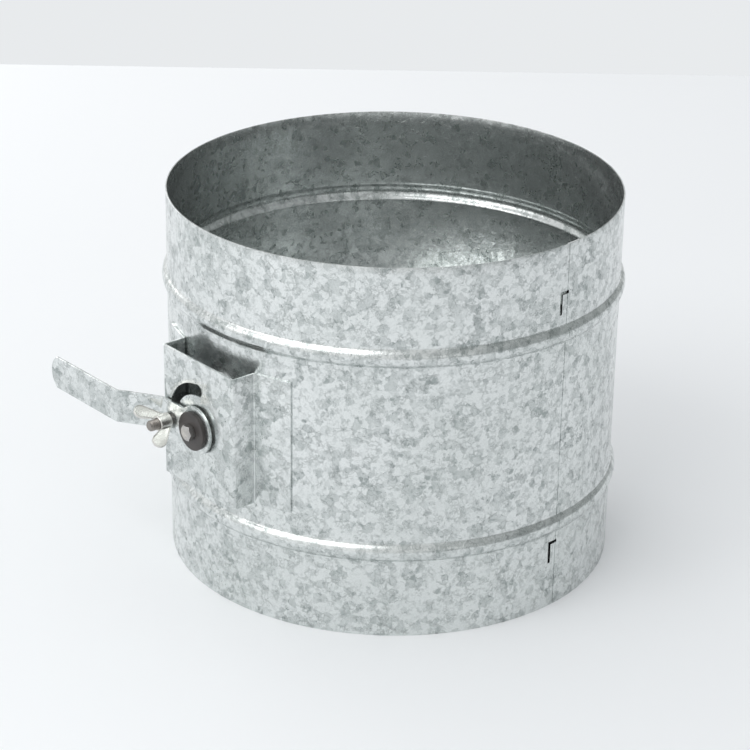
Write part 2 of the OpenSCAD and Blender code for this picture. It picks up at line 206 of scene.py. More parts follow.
def spangle_group() -> bpy.types.NodeTree:
    """Builds the zinc crystals of galvanised sheet: ragged flakes, dark curls and feathered grain.

    Returns:
        A group that takes Vector, Flake (crystals per metre) and Ragged (wander of their edges in metres)
        and gives Tone, Curl and Height.
    """
    canvas, given, result = new_group(
        "zinc_spangle",
        {"Vector": "Vector", "Flake": "Float", "Ragged": "Float"},
        {"Tone": "Float", "Curl": "Float", "Height": "Float"},
    )
    place = given.outputs["Vector"]
    flake = given.outputs["Flake"]

    def noisy(where: object, times: float, detail: float, twist: float = 0.0) -> bpy.types.Node:
        node = canvas.put(
            "TexNoise", {"noise_dimensions": "3D"}, Vector=where, Scale=canvas.sum("MULTIPLY", flake, times)
        )
        node.inputs["Detail"].default_value = detail
        node.inputs["Distortion"].default_value = twist
        return node

    wobble = noisy(place, 1.9, 3.0)
    push = canvas.put("VectorMath", {"operation": "SUBTRACT"})
    canvas.feed(push.inputs[0], wobble.outputs["Color"])
    push.inputs[1].default_value = (0.5, 0.5, 0.5)
    amount = canvas.put("VectorMath", {"operation": "SCALE"})
    canvas.feed(amount.inputs[0], push.outputs[0])
    canvas.feed(amount.inputs["Scale"], given.outputs["Ragged"])
    bent = canvas.put("VectorMath", {"operation": "ADD"})
    canvas.feed(bent.inputs[0], place)
    canvas.feed(bent.inputs[1], amount.outputs[0])
    large = canvas.put("TexVoronoi", {"feature": "F1"}, Vector=bent.outputs[0], Scale=flake)
    small = canvas.put(
        "TexVoronoi", {"feature": "F1"}, Vector=bent.outputs[0], Scale=canvas.sum("MULTIPLY", flake, 2.3)
    )
    rim = canvas.put("TexVoronoi", {"feature": "DISTANCE_TO_EDGE"}, Vector=bent.outputs[0], Scale=flake)
    shade = canvas.put("SeparateColor", Color=large.outputs["Color"])
    fine = canvas.put("SeparateColor", Color=small.outputs["Color"])
    turned_place = canvas.put(
        "VectorRotate", {"rotation_type": "AXIS_ANGLE"}, Vector=place, Axis=large.outputs["Color"]
    )
    canvas.feed(turned_place.inputs["Angle"], canvas.sum("MULTIPLY", shade.outputs[1], math.tau))
    stretched = canvas.put("Mapping", Vector=turned_place.outputs[0], Scale=(4.0, 1.0, 1.0))
    grain = canvas.span(noisy(stretched.outputs[0], 1.6, 3.0).outputs["Fac"], 0.36, 0.66, 0.0, 1.0)
    group = canvas.span(noisy(place, 0.40, 1.0).outputs["Fac"], 0.40, 0.60, 0.62, 1.0)
    dark = canvas.sum("MULTIPLY", canvas.span(shade.outputs[0], 0.56, 0.74, 0.0, 0.46), group)
    dark = canvas.sum("ADD", dark, canvas.sum("MULTIPLY", canvas.span(fine.outputs[0], 0.68, 0.84, 0.0, 0.38), group))
    dark = canvas.sum("ADD", dark, canvas.sum("MULTIPLY", grain, 0.22))
    ridge = canvas.sum("ABSOLUTE", canvas.sum("SUBTRACT", noisy(place, 1.0, 1.5, 1.4).outputs["Fac"], 0.5), 0.0)
    line = canvas.span(ridge, 0.008, 0.034, 1.0, 0.0)
    broken = canvas.span(noisy(place, 0.7, 2.0).outputs["Fac"], 0.46, 0.58, 0.0, 1.0)
    border = canvas.sum("MULTIPLY", canvas.span(rim.outputs["Distance"], 0.02, 0.09, 0.7, 0.0), broken)
    curl = canvas.sum("MAXIMUM", canvas.sum("MULTIPLY", line, broken), border)
    canvas.feed(result.inputs["Tone"], canvas.sum("SUBTRACT", 1.0, dark))
    canvas.feed(result.inputs["Curl"], curl)
    off = canvas.put("VectorMath", {"operation": "SUBTRACT"})
    canvas.feed(off.inputs[0], bent.outputs[0])
    canvas.feed(off.inputs[1], large.outputs["Position"])
    lean = canvas.put("VectorMath", {"operation": "SUBTRACT"})
    canvas.feed(lean.inputs[0], large.outputs["Color"])
    lean.inputs[1].default_value = (0.5, 0.5, 0.5)
    tilt = canvas.put("VectorMath", {"operation": "DOT_PRODUCT"})
    canvas.feed(tilt.inputs[0], off.outputs[0])
    canvas.feed(tilt.inputs[1], lean.outputs[0])
    relief = canvas.sum("ADD", canvas.sum("MULTIPLY", tilt.outputs["Value"], 900.0), canvas.sum("MULTIPLY", grain, 0.5))
    canvas.feed(result.inputs["Height"], canvas.sum("SUBTRACT", relief, canvas.sum("MULTIPLY", curl, 0.5)))
    return canvas.tree


def cloud_group() -> bpy.types.NodeTree:
    """Builds slow variation over a surface, such as handling marks and dull patches.

    Returns:
        A group that takes Vector and Patch (patches per metre) and gives Cloud from 0 to 1.
    """
    canvas, given, result = new_group("slow_cloud", {"Vector": "Vector", "Patch": "Float"}, {"Cloud": "Float"})
    soft = canvas.put("TexNoise", {"noise_dimensions": "3D"}, Vector=given.outputs["Vector"], Scale=given.outputs["Patch"])
    soft.inputs["Detail"].default_value = 2.5
    canvas.feed(result.inputs["Cloud"], canvas.span(soft.outputs["Fac"], 0.32, 0.68, 0.0, 1.0))
    return canvas.tree


def scratch_group() -> bpy.types.NodeTree:
    """Builds fine scratches that run along one direction of the surface.

    Returns:
        A group that takes Vector (already stretched along the scratches) and Fine and gives Scratch.
    """
    canvas, given, result = new_group("fine_scratch", {"Vector": "Vector", "Fine": "Float"}, {"Scratch": "Float"})
    lines = canvas.put("TexNoise", {"noise_dimensions": "3D"}, Vector=given.outputs["Vector"], Scale=given.outputs["Fine"])
    lines.inputs["Detail"].default_value = 5.0
    lines.inputs["Roughness"].default_value = 0.7
    canvas.feed(result.inputs["Scratch"], canvas.span(lines.outputs["Fac"], 0.38, 0.66, 0.0, 1.0))
    return canvas.tree


class Effects:
    """The node groups that the finishes share, each built once."""

    def __init__(self) -> None:
        self.spangle = spangle_group()
        self.cloud = cloud_group()
        self.scratch = scratch_group()

    @staticmethod
    def use(canvas: Canvas, tree: bpy.types.NodeTree, **inputs: object) -> bpy.types.Node:
        """Places a group in a material.

        Args:
            canvas: The material's canvas.
            tree: The group.
            **inputs: The group's sockets by name.

        Returns:
            The group's node.
        """
        node = canvas.put("Group", {"node_tree": tree})
        for name, value in inputs.items():
            canvas.feed(node.inputs[name], value)
        return node


def start_material(name: str) -> tuple[bpy.types.Material, Canvas, bpy.types.Node]:
    """Starts a material with a Principled shader.

    Args:
        name: The material's name.

    Returns:
        The material, its canvas and the shader node.
    """
    material = bpy.data.materials.new(name)
    material.use_nodes = True
    shader = material.node_tree.nodes["Principled BSDF"]
    return material, Canvas(material.node_tree), shader


@dataclass(frozen=True)
class Galvanised:
    """Zinc coated sheet with small crystals.

    Args:
        name: The material's name.
        pale: Colour of the bright crystals.
        dim: Colour of the dark crystals.
        green: Colour of the slightly green patches.
        flake: Crystals per metre.
        ragged: How far the crystals' edges wander, in metres.
        curl: Darkness of the curls between the crystals.
        rough: Lowest and highest roughness.
        bump: Depth of the crystals' relief, in metres.
        metal: Share of metal in the shading.
    """

    name: str = "galvanised_zinc"
    pale: Colour = (0.775, 0.80, 0.795)
    dim: Colour = (0.33, 0.365, 0.36)
    green: Colour = (0.50, 0.545, 0.52)
    flake: float = 230.0
    ragged: float = 0.004
    curl: float = 0.55
    rough: Point = (0.17, 0.31)
    bump: float = 0.00006
    metal: float = 0.95

    def build(self, effects: Effects) -> bpy.types.Material:
        """Builds the material.

        Args:
            effects: The shared node groups.

        Returns:
            The material.
        """
        material, canvas, shader = start_material(self.name)
        place = canvas.put("TexCoord").outputs["Object"]
        zinc = effects.use(canvas, effects.spangle, Vector=place, Flake=self.flake, Ragged=self.ragged)
        cloud = effects.use(canvas, effects.cloud, Vector=place, Patch=16.0).outputs["Cloud"]
        tone = canvas.span(zinc.outputs["Tone"], 0.0, 0.92, 0.0, 1.0)
        colour = canvas.blend(tone, (*self.dim, 1.0), (*self.pale, 1.0))
        dark = tuple(0.62 * c for c in self.dim)
        colour = canvas.blend(canvas.sum("MULTIPLY", zinc.outputs["Curl"], self.curl), colour, (*dark, 1.0))
        colour = canvas.blend(canvas.sum("MULTIPLY", cloud, 0.22), colour, (*self.green, 1.0))
        # Painted shade from the face attribute: near black on the slits' cuts, and a share of it on the inner wall.
        painted_shade = canvas.put("Attribute", {"attribute_name": PAINTED_SHADE_SHARE}).outputs["Fac"]
        canvas.feed(shader.inputs["Base Color"], canvas.blend(painted_shade, colour, (0.02, 0.02, 0.02, 1.0)))
        gloss = canvas.span(tone, 0.0, 1.0, self.rough[1], self.rough[0])
        gloss = canvas.sum("ADD", gloss, canvas.sum("MULTIPLY", cloud, 0.05))
        canvas.feed(shader.inputs["Roughness"], gloss)
        shader.inputs["Metallic"].default_value = self.metal
        relief = canvas.put("Bump", Height=zinc.outputs["Height"])
        relief.inputs["Strength"].default_value = 0.5
        relief.inputs["Distance"].default_value = self.bump
        canvas.feed(shader.inputs["Normal"], relief.outputs[0])
        return material


@dataclass(frozen=True)
class PlatedSteel:
    """Bright plated or turned steel with fine scratches.

    Args:
        name: The material's name.
        pale: Colour of the clean metal.
        dim: Colour in the scratches and dull patches.
        rough: Lowest and highest roughness.
        stretch: How the scratches are stretched along X, Y and Z.
        metal: Share of metal in the shading.
    """

    name: str
    pale: Colour
    dim: Colour
    rough: Point
    stretch: Colour = (1.0, 0.08, 1.0)
    metal: float = 1.0

    def build(self, effects: Effects) -> bpy.types.Material:
        """Builds the material.

        Args:
            effects: The shared node groups.

        Returns:
            The material.
        """
        material, canvas, shader = start_material(self.name)
        place = canvas.put("TexCoord").outputs["Object"]
        along = canvas.put("Mapping", Vector=place, Scale=self.stretch)
        scratch = effects.use(canvas, effects.scratch, Vector=along.outputs[0], Fine=1600.0).outputs["Scratch"]
        cloud = effects.use(canvas, effects.cloud, Vector=place, Patch=160.0).outputs["Cloud"]
        worn = canvas.sum("MULTIPLY", canvas.sum("ADD", scratch, cloud), 0.5)
        canvas.feed(shader.inputs["Base Color"], canvas.blend(worn, (*self.pale, 1.0), (*self.dim, 1.0)))
        canvas.feed(shader.inputs["Roughness"], canvas.span(worn, 0.1, 0.9, *self.rough))
        shader.inputs["Metallic"].default_value = self.metal
        relief = canvas.put("Bump", Height=scratch)
        relief.inputs["Strength"].default_value = 0.15
        relief.inputs["Distance"].default_value = 0.00002
        canvas.feed(shader.inputs["Normal"], relief.outputs[0])
        return material


@dataclass(frozen=True)
class Moulded:
    """Moulded plastic or a coated part with a fine grain.

    Args:
        name: The material's name.
        pale: Lighter colour of the surface.
        dim: Darker colour of the surface.
        rough: Lowest and highest roughness.
        specular: Strength of the reflection.
    """

    name: str
    pale: Colour
    dim: Colour
    rough: Point
    specular: float = 0.5

    def build(self, effects: Effects) -> bpy.types.Material:
        """Builds the material.

        Args:
            effects: The shared node groups.

        Returns:
            The material.
        """
        material, canvas, shader = start_material(self.name)
        place = canvas.put("TexCoord").outputs["Object"]
        grain = effects.use(canvas, effects.scratch, Vector=place, Fine=2400.0).outputs["Scratch"]
        cloud = effects.use(canvas, effects.cloud, Vector=place, Patch=120.0).outputs["Cloud"]
        canvas.feed(shader.inputs["Base Color"], canvas.blend(cloud, (*self.pale, 1.0), (*self.dim, 1.0)))
        canvas.feed(shader.inputs["Roughness"], canvas.span(cloud, 0.0, 1.0, *self.rough))
        shader.inputs["Specular IOR Level"].default_value = self.specular
        relief = canvas.put("Bump", Height=grain)
        relief.inputs["Strength"].default_value = 0.2
        relief.inputs["Distance"].default_value = 0.00002
        canvas.feed(shader.inputs["Normal"], relief.outputs[0])
        return material


class Finishes:
    """Every material of the damper, built once.

    Args:
        effects: The shared node groups.
    """

    def __init__(self, effects: Effects) -> None:
        self.sheet = Galvanised().build(effects)
        self.plate = Galvanised("galvanised_strip", flake=180.0, ragged=0.006).build(effects)
        self.steel = PlatedSteel(
            "bright_steel", (0.66, 0.66, 0.64), (0.46, 0.46, 0.44), (0.22, 0.40)
        ).build(effects)
        self.screw = PlatedSteel(
            "dull_steel", (0.58, 0.57, 0.56), (0.38, 0.37, 0.36), (0.24, 0.42), (1.0, 1.0, 1.0)
        ).build(effects)
        self.nickel = PlatedSteel(
            "nickel_plate", (0.80, 0.795, 0.76), (0.58, 0.565, 0.53), (0.22, 0.38), (1.0, 1.0, 1.0)
        ).build(effects)
        self.stained = PlatedSteel(
            "stained_thread", (0.38, 0.36, 0.335), (0.20, 0.18, 0.165), (0.26, 0.44), (1.0, 1.0, 1.0)
        ).build(effects)
        self.dark = Moulded("dark_disc", (0.026, 0.023, 0.022), (0.052, 0.045, 0.042), (0.30, 0.46)).build(effects)
        self.nylon = Moulded("nylon", (0.84, 0.82, 0.76), (0.76, 0.74, 0.68), (0.40, 0.55)).build(effects)
        self.spring = PlatedSteel(
            "black_spring_steel", (0.075, 0.075, 0.080), (0.14, 0.135, 0.13), (0.30, 0.48), (1.0, 1.0, 1.0), 0.6
        ).build(effects)


@dataclass(frozen=True)
class Piece:
    """What a finished piece is and what it stands for.

    Args:
        name: The piece's name.
        body: The body it rides on.
        slot: The slot of its finish; not used.
        nodes: The CAD nodes that it replaces.
        smooth: Largest angle in degrees between faces that shade as one.
    """

    name: str
    body: Body
    slot: Slot
    nodes: tuple[str, ...]
    smooth: float = 32.0


def settle(bm: BMesh, piece: Piece, material: bpy.types.Material, place: Matrix | None = None) -> bpy.types.Object:
    """Turns a bmesh in millimetres into a finished piece.

    Args:
        bm: The shape in millimetres. It is freed.
        piece: What the piece is.
        material: Its material.
        place: Where it goes, in millimetres.

    Returns:
        The new object, riding on its body.
    """
    bmesh.ops.transform(bm, matrix=Matrix.Scale(MM, 4) @ (place or Matrix.Identity(4)), verts=bm.verts)
    mesh = bpy.data.meshes.new(piece.name)
    bm.to_mesh(mesh)
    bm.free()
    mesh.polygons.foreach_set("use_smooth", [True] * len(mesh.polygons))
    mesh.set_sharp_from_angle(angle=math.radians(piece.smooth))
    mesh.materials.append(material)
    made = bpy.data.objects.new(piece.name, mesh)
    bpy.context.scene.collection.objects.link(made)
    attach(made, piece.body.value)
    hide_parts(*piece.nodes)
    triangles = sum(len(p.vertices) - 2 for p in mesh.polygons)
    log.info("%s rides on %s, %d triangles", piece.name, piece.body.value, triangles)
    return made


def close_up(bm: BMesh, distance: float = 0.002) -> None:
    """Merges doubled vertices and turns the faces outwards."""
    bmesh.ops.remove_doubles(bm, verts=bm.verts, dist=distance)
    bmesh.ops.recalc_face_normals(bm, faces=bm.faces)


def soften(bm: BMesh, width: float, sharper_than: float = 50.0, segments: int = 2) -> None:
    """Rounds the hard edges of a closed shape.

    Args:
        bm: The shape.
        width: Width of the rounding.
        sharper_than: Smallest angle in degrees between the faces of an edge that is rounded.
        segments: Facets of the rounding.
    """
    limit = math.radians(sharper_than)
    hard = [e for e in bm.edges if len(e.link_faces) == 2 and e.calc_face_angle() > limit]
    bmesh.ops.bevel(
        bm, geom=hard, offset=width, segments=segments, profile=0.5, affect="EDGES", material=-1, clamp_overlap=True
    )


def chain(bm: BMesh, points: Iterable[Sequence[float]], closed: bool) -> tuple[list[BMVert], list[BMEdge]]:
    """Draws a line of vertices and edges.

    Args:
        bm: The mesh to draw in.
        points: Places in three coordinates.
        closed: Whether the last point joins the first.

    Returns:
        The vertices and the edges.
    """
    verts = [bm.verts.new(p) for p in points]
    pairs = list(zip(verts, verts[1:]))
    if closed:
        pairs.append((verts[-1], verts[0]))
    return verts, [bm.edges.new(pair) for pair in pairs]


def turned(profile: Sequence[Point], steps: int = 96) -> BMesh:
    """Turns a closed profile of (radius, height) round the Z axis.

    Args:
        profile: The section's points, in order round it. Points on the axis have radius 0.
        steps: Facets round the axis.

    Returns:
        The closed shape.
    """
    bm = bmesh.new()
    verts, edges = chain(bm, [(r, 0.0, z) for r, z in profile], closed=True)
    bmesh.ops.spin(
        bm, geom=verts + edges, cent=(0, 0, 0), axis=(0, 0, 1), angle=math.tau, steps=steps, use_merge=True
    )
    axis_edges = [e for e in bm.edges if all(math.hypot(v.co.x, v.co.y) < 1e-5 for v in e.verts)]
    bmesh.ops.remove_doubles(bm, verts=bm.verts, dist=0.0005)
    axis_edges = [e for e in bm.edges if not e.link_faces]
    bmesh.ops.delete(bm, geom=axis_edges, context="EDGES")
    bmesh.ops.recalc_face_normals(bm, faces=bm.faces)
    return bm


def rounded_disc(low: float, high: float, outer: float, inner: float, edge: float) -> list[Point]:
    """Works out the section of a ring or disc with rounded outer corners.

    Args:
        low: Lower height.
        high: Upper height.
        outer: Outer radius.
        inner: Bore radius, or 0 for none.
        edge: Radius of the rounding.

    Returns:
        The section's points.
    """
    corners = arc(outer - edge, low + edge, edge, -90, 0, 4) + arc(outer - edge, high - edge, edge, 0, 90, 4)
    small = edge / 2 if inner else 0.0
    if not inner:
        return [(0.0, low), *corners, (0.0, high)]
    return [(inner + small, low), *corners, (inner + small, high), (inner, high - small), (inner, low + small)]


def prism(outline: Sequence[Point], low: float, high: float) -> BMesh:
    """Raises a closed outline in the XY plane to a solid.

    Args:
        outline: The outline's points, counter-clockwise.
        low: Lower height.
        high: Upper height.

    Returns:
        The closed shape.
    """
    bm = bmesh.new()
    verts, _ = chain(bm, [(x, y, low) for x, y in outline], closed=True)
    face = bm.faces.new(verts)
    raised = bmesh.ops.extrude_face_region(bm, geom=[face])["geom"]
    lifted = [v for v in raised if isinstance(v, BMVert)]
    bmesh.ops.translate(bm, vec=(0, 0, high - low), verts=lifted)
    if not face.is_valid:
        bm.faces.new(verts)
    bmesh.ops.recalc_face_normals(bm, faces=bm.faces)
    return bm


def merged(*parts: BMesh) -> BMesh:
    """Puts several closed shapes into one mesh.

    Args:
        *parts: The shapes. All but the first are freed.

    Returns:
        The first shape, with the others in it.
    """
    first = parts[0]
    for part in parts[1:]:
        keep = bpy.data.meshes.new("part")
        part.to_mesh(keep)
        part.free()
        first.from_mesh(keep)
        bpy.data.meshes.remove(keep)
    return first


class FoldedSheet:
    """A flat blank that is pierced, folded along its edges and then given its thickness."""

    def __init__(self) -> None:
        self.bm = bmesh.new()

    def blank(self, outline: Sequence[Sequence[float]], holes: Sequence[Sequence[Sequence[float]]]) -> list[BMVert]:
        """Cuts the flat blank with its holes.

        Args:
            outline: The blank's corners in three coordinates, all in one plane.
            holes: Closed loops in the same plane.

        Returns:
            The outline's vertices.
        """
        verts, edges = chain(self.bm, outline, closed=True)
        for hole in holes:
            edges += chain(self.bm, hole, closed=True)[1]
        bmesh.ops.triangle_fill(self.bm, use_beauty=True, use_dissolve=False, edges=edges)
        return verts

    def edge(self, first: BMVert, last: BMVert) -> BMEdge:
        """Finds the edge between two vertices."""
        return self.bm.edges.get((first, last))

    def fold(self, edges: Sequence[BMEdge], centre: Sequence[float], axis: Sequence[float], degrees: float, steps: int) -> list[BMEdge]:
        """Bends the sheet on from a row of edges.

        Args:
            edges: The edges to go on from.
            centre: A point on the bend's axis.
            axis: The bend's axis.
            degrees: Angle of the bend.
            steps: Facets of the bend.

        Returns:
            The edges at the bend's end.
        """
        verts = list({v for e in edges for v in e.verts})
        last = bmesh.ops.spin(
            self.bm, geom=verts + list(edges), cent=centre, axis=axis, angle=math.radians(degrees), steps=steps
        )["geom_last"]
        return [e for e in last if isinstance(e, BMEdge)]

    def run(self, edges: Sequence[BMEdge], way: Sequence[float], rows: int = 1) -> list[BMEdge]:
        """Carries the sheet straight on from a row of edges.

        Args:
            edges: The edges to go on from.
            way: The whole distance and direction.
            rows: Number of equal steps.

        Returns:
            The edges at the end.
        """
        row = list(edges)
        for _ in range(rows):
            grown = bmesh.ops.extrude_edge_only(self.bm, edges=row)["geom"]
            bmesh.ops.translate(
                self.bm, vec=Vector(way) / rows, verts=[v for v in grown if isinstance(v, BMVert)]
            )
            row = [
                e
                for e in grown
                if isinstance(e, BMEdge) and all(v in grown for v in e.verts) and len(e.link_faces) == 1
            ]
        return row

    def thicken(self, thickness: float, toward: Vector) -> BMesh:
        """Gives the sheet its thickness.

        Args:
            thickness: The sheet's thickness.
            toward: The side, at the largest flat face, that the thickness grows to.

        Returns:
            The closed sheet.
        """
        close_up(self.bm)
        largest = max(self.bm.faces, key=lambda f: f.calc_area())
        if largest.normal.dot(toward) > 0:
            bmesh.ops.reverse_faces(self.bm, faces=self.bm.faces)
        bmesh.ops.solidify(self.bm, geom=self.bm.faces[:], thickness=thickness)
        bmesh.ops.recalc_face_normals(self.bm, faces=self.bm.faces)
        return self.bm


@dataclass(frozen=True)
class Duct:
    """The beaded duct with its lap seam and corner slits.

    Args:
        outer_d: Outer diameter.
        height: Length of the duct.
        sheet: Thickness of the sheet.
        bead_inset: Distance from an end to the middle of its bead.
        bead_w: Width of a bead.
        bead_h: Height of a bead.
        root_r: Outside radius at the foot of a bead.
        seam_at: Direction of the seam line in degrees from +X.
        seam_w: Width of the seam line.
        seam_depth: Depth of the seam line.
        lap: Width of the inner lap.
        slit_w: Width of a slit.
        slit_len: Length of an upright slit.
        slit_offset: Distance from the seam line to an upright slit.
        slit_over_bead: Distance from the upper bead up to its corner slit.
        slit_under_bead: Distance from the lower bead down to its corner slit.
        spindle_z: Height of the spindle.
        hole_d: Diameter of the bush holes.
        warp: How far the wall wanders from true, in and out.
        steps: Facets round the duct.
        row: Largest height of a row of facets.
    """

    outer_d: float = 250.0
    height: float = 211.0
    sheet: float = 0.8
    bead_inset: float = 49.8
    bead_w: float = 12.0
    bead_h: float = 2.6
    root_r: float = 2.5
    seam_at: float = 4.6
    seam_w: float = 0.6
    seam_depth: float = 0.35
    lap: float = 9.0
    slit_w: float = 1.8
    slit_len: float = 12.0
    slit_offset: float = 4.6
    slit_over_bead: float = 23.2
    slit_under_bead: float = 11.0
    spindle_z: float = 103.5
    hole_d: float = 13.0
    warp: float = 0.10
    steps: int = 288
    row: float = 9.0

    @property
    def radius(self) -> float:
        """Outer radius of the duct."""
        return self.outer_d / 2

    @property
    def beads(self) -> Point:
        """Heights of the middle of both beads."""
        return self.bead_inset, self.height - self.bead_inset

    def degrees(self, length: float) -> float:
        """Turns a length round the duct into degrees."""
        return math.degrees(length / self.radius)

    def bead_line(self, z: float) -> list[Point]:
        """Works out one bead of the outer surface, from its lower foot to its upper foot."""
        total = (self.bead_h**2 + (self.bead_w / 2) ** 2) / (2 * self.bead_h)
        crest = total - self.root_r
        swing = math.degrees(math.asin(self.bead_w / 2 / total))
        foot = self.radius + self.root_r
        return (
            arc(foot, z - self.bead_w / 2, self.root_r, 180, 180 - swing, 6)
            + arc(self.radius + self.bead_h - crest, z, crest, -swing, swing, 14)[1:-1]
            + arc(foot, z + self.bead_w / 2, self.root_r, 180 + swing, 180, 6)
        )

    def outer_line(self) -> list[Point]:
        """Works out the outer surface from the lower to the upper end, with even rows between."""
        corners = [(self.radius, 0.0)]
        for z in self.beads:
            corners += self.bead_line(z)
        corners.append((self.radius, self.height))
        line = [corners[0]]
        for start, end in zip(corners, corners[1:]):
            rows = max(1, math.ceil((end[1] - start[1]) / self.row))
            line += [
                (start[0] + (end[0] - start[0]) * i / rows, start[1] + (end[1] - start[1]) * i / rows)
                for i in range(1, rows + 1)
            ]
        return line

    def angle(self, point: Vector) -> float:
        """Direction of a point in degrees from the seam line, between -180 and 180."""
        return (math.degrees(math.atan2(point.y, point.x)) - self.seam_at + 180) % 360 - 180

    def split(self, bm: BMesh, degrees: float, low: float, high: float) -> None:
        """Splits the wall along an upright plane through the axis.

        Args:
            bm: The wall.
            degrees: Direction from the seam line.
            low: Lowest height of the faces that are split.
            high: Highest height of the faces that are split.
        """
        near = [
            f
            for f in bm.faces
            if abs(self.angle(f.calc_center_median()) - degrees) < 3.0
            and low - self.row < f.calc_center_median().z < high + self.row
        ]
        parts = {v for f in near for v in f.verts} | {e for f in near for e in f.edges} | set(near)
        turn = math.radians(self.seam_at + degrees)
        bmesh.ops.bisect_plane(
            bm, geom=list(parts), dist=1e-4, plane_co=(0, 0, 0), plane_no=(-math.sin(turn), math.cos(turn), 0)
        )

    def split_level(self, bm: BMesh, z: float, low: float, high: float) -> None:
        """Splits the wall at a height, between two directions in degrees from the seam line."""
        near = [f for f in bm.faces if low - 3.0 < self.angle(f.calc_center_median()) < high + 3.0]
        near = [f for f in near if abs(f.calc_center_median().z - z) < self.row]
        parts = {v for f in near for v in f.verts} | {e for f in near for e in f.edges} | set(near)
        bmesh.ops.bisect_plane(bm, geom=list(parts), dist=1e-4, plane_co=(0, 0, z), plane_no=(0, 0, 1))

    def slit_windows(self) -> list[tuple[float, float, float, float]]:
        """Works out the slits as (from degrees, to degrees, from height, to height)."""
        windows = []
        half = self.degrees(self.slit_w) / 2
        upright = -self.degrees(self.slit_offset)
        for z in (self.beads[0] - self.slit_under_bead, self.beads[1] + self.slit_over_bead):
            windows.append((upright - half, half, z - self.slit_w / 2, z + self.slit_w / 2))
            windows.append((upright - half, upright + half, z - self.slit_len, z + self.slit_w / 2))
        return windows

    def wall(self) -> BMesh:
        """Builds the wall: spun, split at the seam, slit, thickened and lapped.

        Returns:
            The closed wall.
        """
        bm = bmesh.new()
        verts, edges = chain(bm, [(r, 0.0, z) for r, z in self.outer_line()], closed=False)
        bmesh.ops.spin(
            bm, geom=verts + edges, cent=(0, 0, 0), axis=(0, 0, 1), angle=math.tau, steps=self.steps, use_merge=True
        )
        close_up(bm)
        half = self.degrees(self.seam_w) / 2
        shoulder = self.degrees(0.12)
        lap_end = self.degrees(self.lap)
        for turn in (-half, -half + shoulder, half - shoulder, half, lap_end, lap_end + shoulder):
            self.split(bm, turn, 0.0, self.height)
        windows = self.slit_windows()
        for low_turn, high_turn, low, high in windows:
            self.split(bm, low_turn, low, high)
            self.split(bm, high_turn, low, high)
            self.split_level(bm, low, low_turn, high_turn)
            self.split_level(bm, high, low_turn, high_turn)
        self.pierce(bm, windows)
        for side in (-1, 1):
            self.bush_hole(bm, side)
        for v in bm.verts:
            if abs(self.angle(v.co)) < half - shoulder / 2:
                v.co -= Vector((v.co.x, v.co.y, 0)).normalized() * self.seam_depth
        outside = len(bm.verts)
        bmesh.ops.recalc_face_normals(bm, faces=bm.faces)
        if sum(f.normal.dot(Vector((*f.calc_center_median().xy, 0))) for f in bm.faces[:200]) < 0:
            bmesh.ops.reverse_faces(bm, faces=bm.faces)
        bmesh.ops.solidify(bm, geom=bm.faces[:], thickness=self.sheet)
        bmesh.ops.recalc_face_normals(bm, faces=bm.faces)
        # Painted shade: a near black painted shadow on the slits' cuts and a lighter painted shade on the inner side.
        self.dim(bm, windows)
        bm.verts.ensure_lookup_table()
        self.inner_lap(bm, outside, -half + shoulder / 2, lap_end + shoulder / 2)
        bmesh.ops.recalc_face_normals(bm, faces=bm.faces)
        return bm

    def pierce(self, bm: BMesh, windows: Sequence[tuple[float, float, float, float]]) -> None:
        """Takes out the faces inside the slits."""
        doomed = []
        for face in bm.faces:
            middle = face.calc_center_median()
            turn = self.angle(middle)
            if any(a < turn < b and low < middle.z < high for a, b, low, high in windows):
                doomed.append(face)
        bmesh.ops.delete(bm, geom=doomed, context="FACES")

    def dim(self, bm: BMesh, windows: Sequence[tuple[float, float, float, float]]) -> None:
        """Paints shade into the faces' colour: the cuts of the slits get a painted shadow, near black, and the inner
        side gets a lighter painted shade.
        """
        marks = bm.faces.layers.float.new(PAINTED_SHADE_SHARE)
        for face in bm.faces:
            middle = face.calc_center_median()
            outward = face.normal.dot(Vector((middle.x, middle.y, 0)).normalized())
            turn = self.angle(middle)
            near = any(a - 0.1 < turn < b + 0.1 and c - 0.1 < middle.z < d + 0.1 for a, b, c, d in windows)
            if near and abs(outward) < 0.3:
                face[marks] = CUT_PAINTED_SHADOW
            elif math.hypot(middle.x, middle.y) < self.radius - self.sheet / 2 or outward < -0.3:
                face[marks] = INNER_PAINTED_SHADE

    def bush_hole(self, bm: BMesh, side: int) -> None:
        """Cuts the round hole of a bush and closes the wall up to its edge.

        Args:
            bm: The wall, still a single surface.
            side: -1 for the handle's side, 1 for the far side.
        """
        reach = self.hole_d / 2 + 1.0
        window = [
            f
            for f in bm.faces
            if f.calc_center_median().y * side > 0
            and min(abs(v.co.x) for v in f.verts) < reach
            and min(v.co.z for v in f.verts) < self.spindle_z + reach
            and max(v.co.z for v in f.verts) > self.spindle_z - reach
        ]
        rim = [e for e in {e for f in window for e in f.edges} if sum(f in window for f in e.link_faces) == 1]
        bmesh.ops.delete(bm, geom=window, context="FACES")
        circle = [
            (x, side * math.sqrt(self.radius**2 - x**2), self.spindle_z + z)
            for x, z in arc(0, 0, self.hole_d / 2, 0, 360, 48)[:-1]
        ]
        edge = chain(bm, circle, closed=True)[1]
        bmesh.ops.bridge_loops(bm, edges=[e for e in rim if e.is_valid] + edge)

    def inner_lap(self, bm: BMesh, outside: int, start: float, end: float) -> None:
        """Doubles the wall behind the seam by moving its inner side inwards.

        Args:
            bm: The wall.
            outside: Number of vertices before the wall got its thickness.
            start: First direction of the lap, in degrees from the seam line.
            end: Last direction of the lap.
        """
        for v in bm.verts[outside:]:
            if start < self.angle(v.co) < end:
                v.co -= Vector((v.co.x, v.co.y, 0)).normalized() * self.sheet

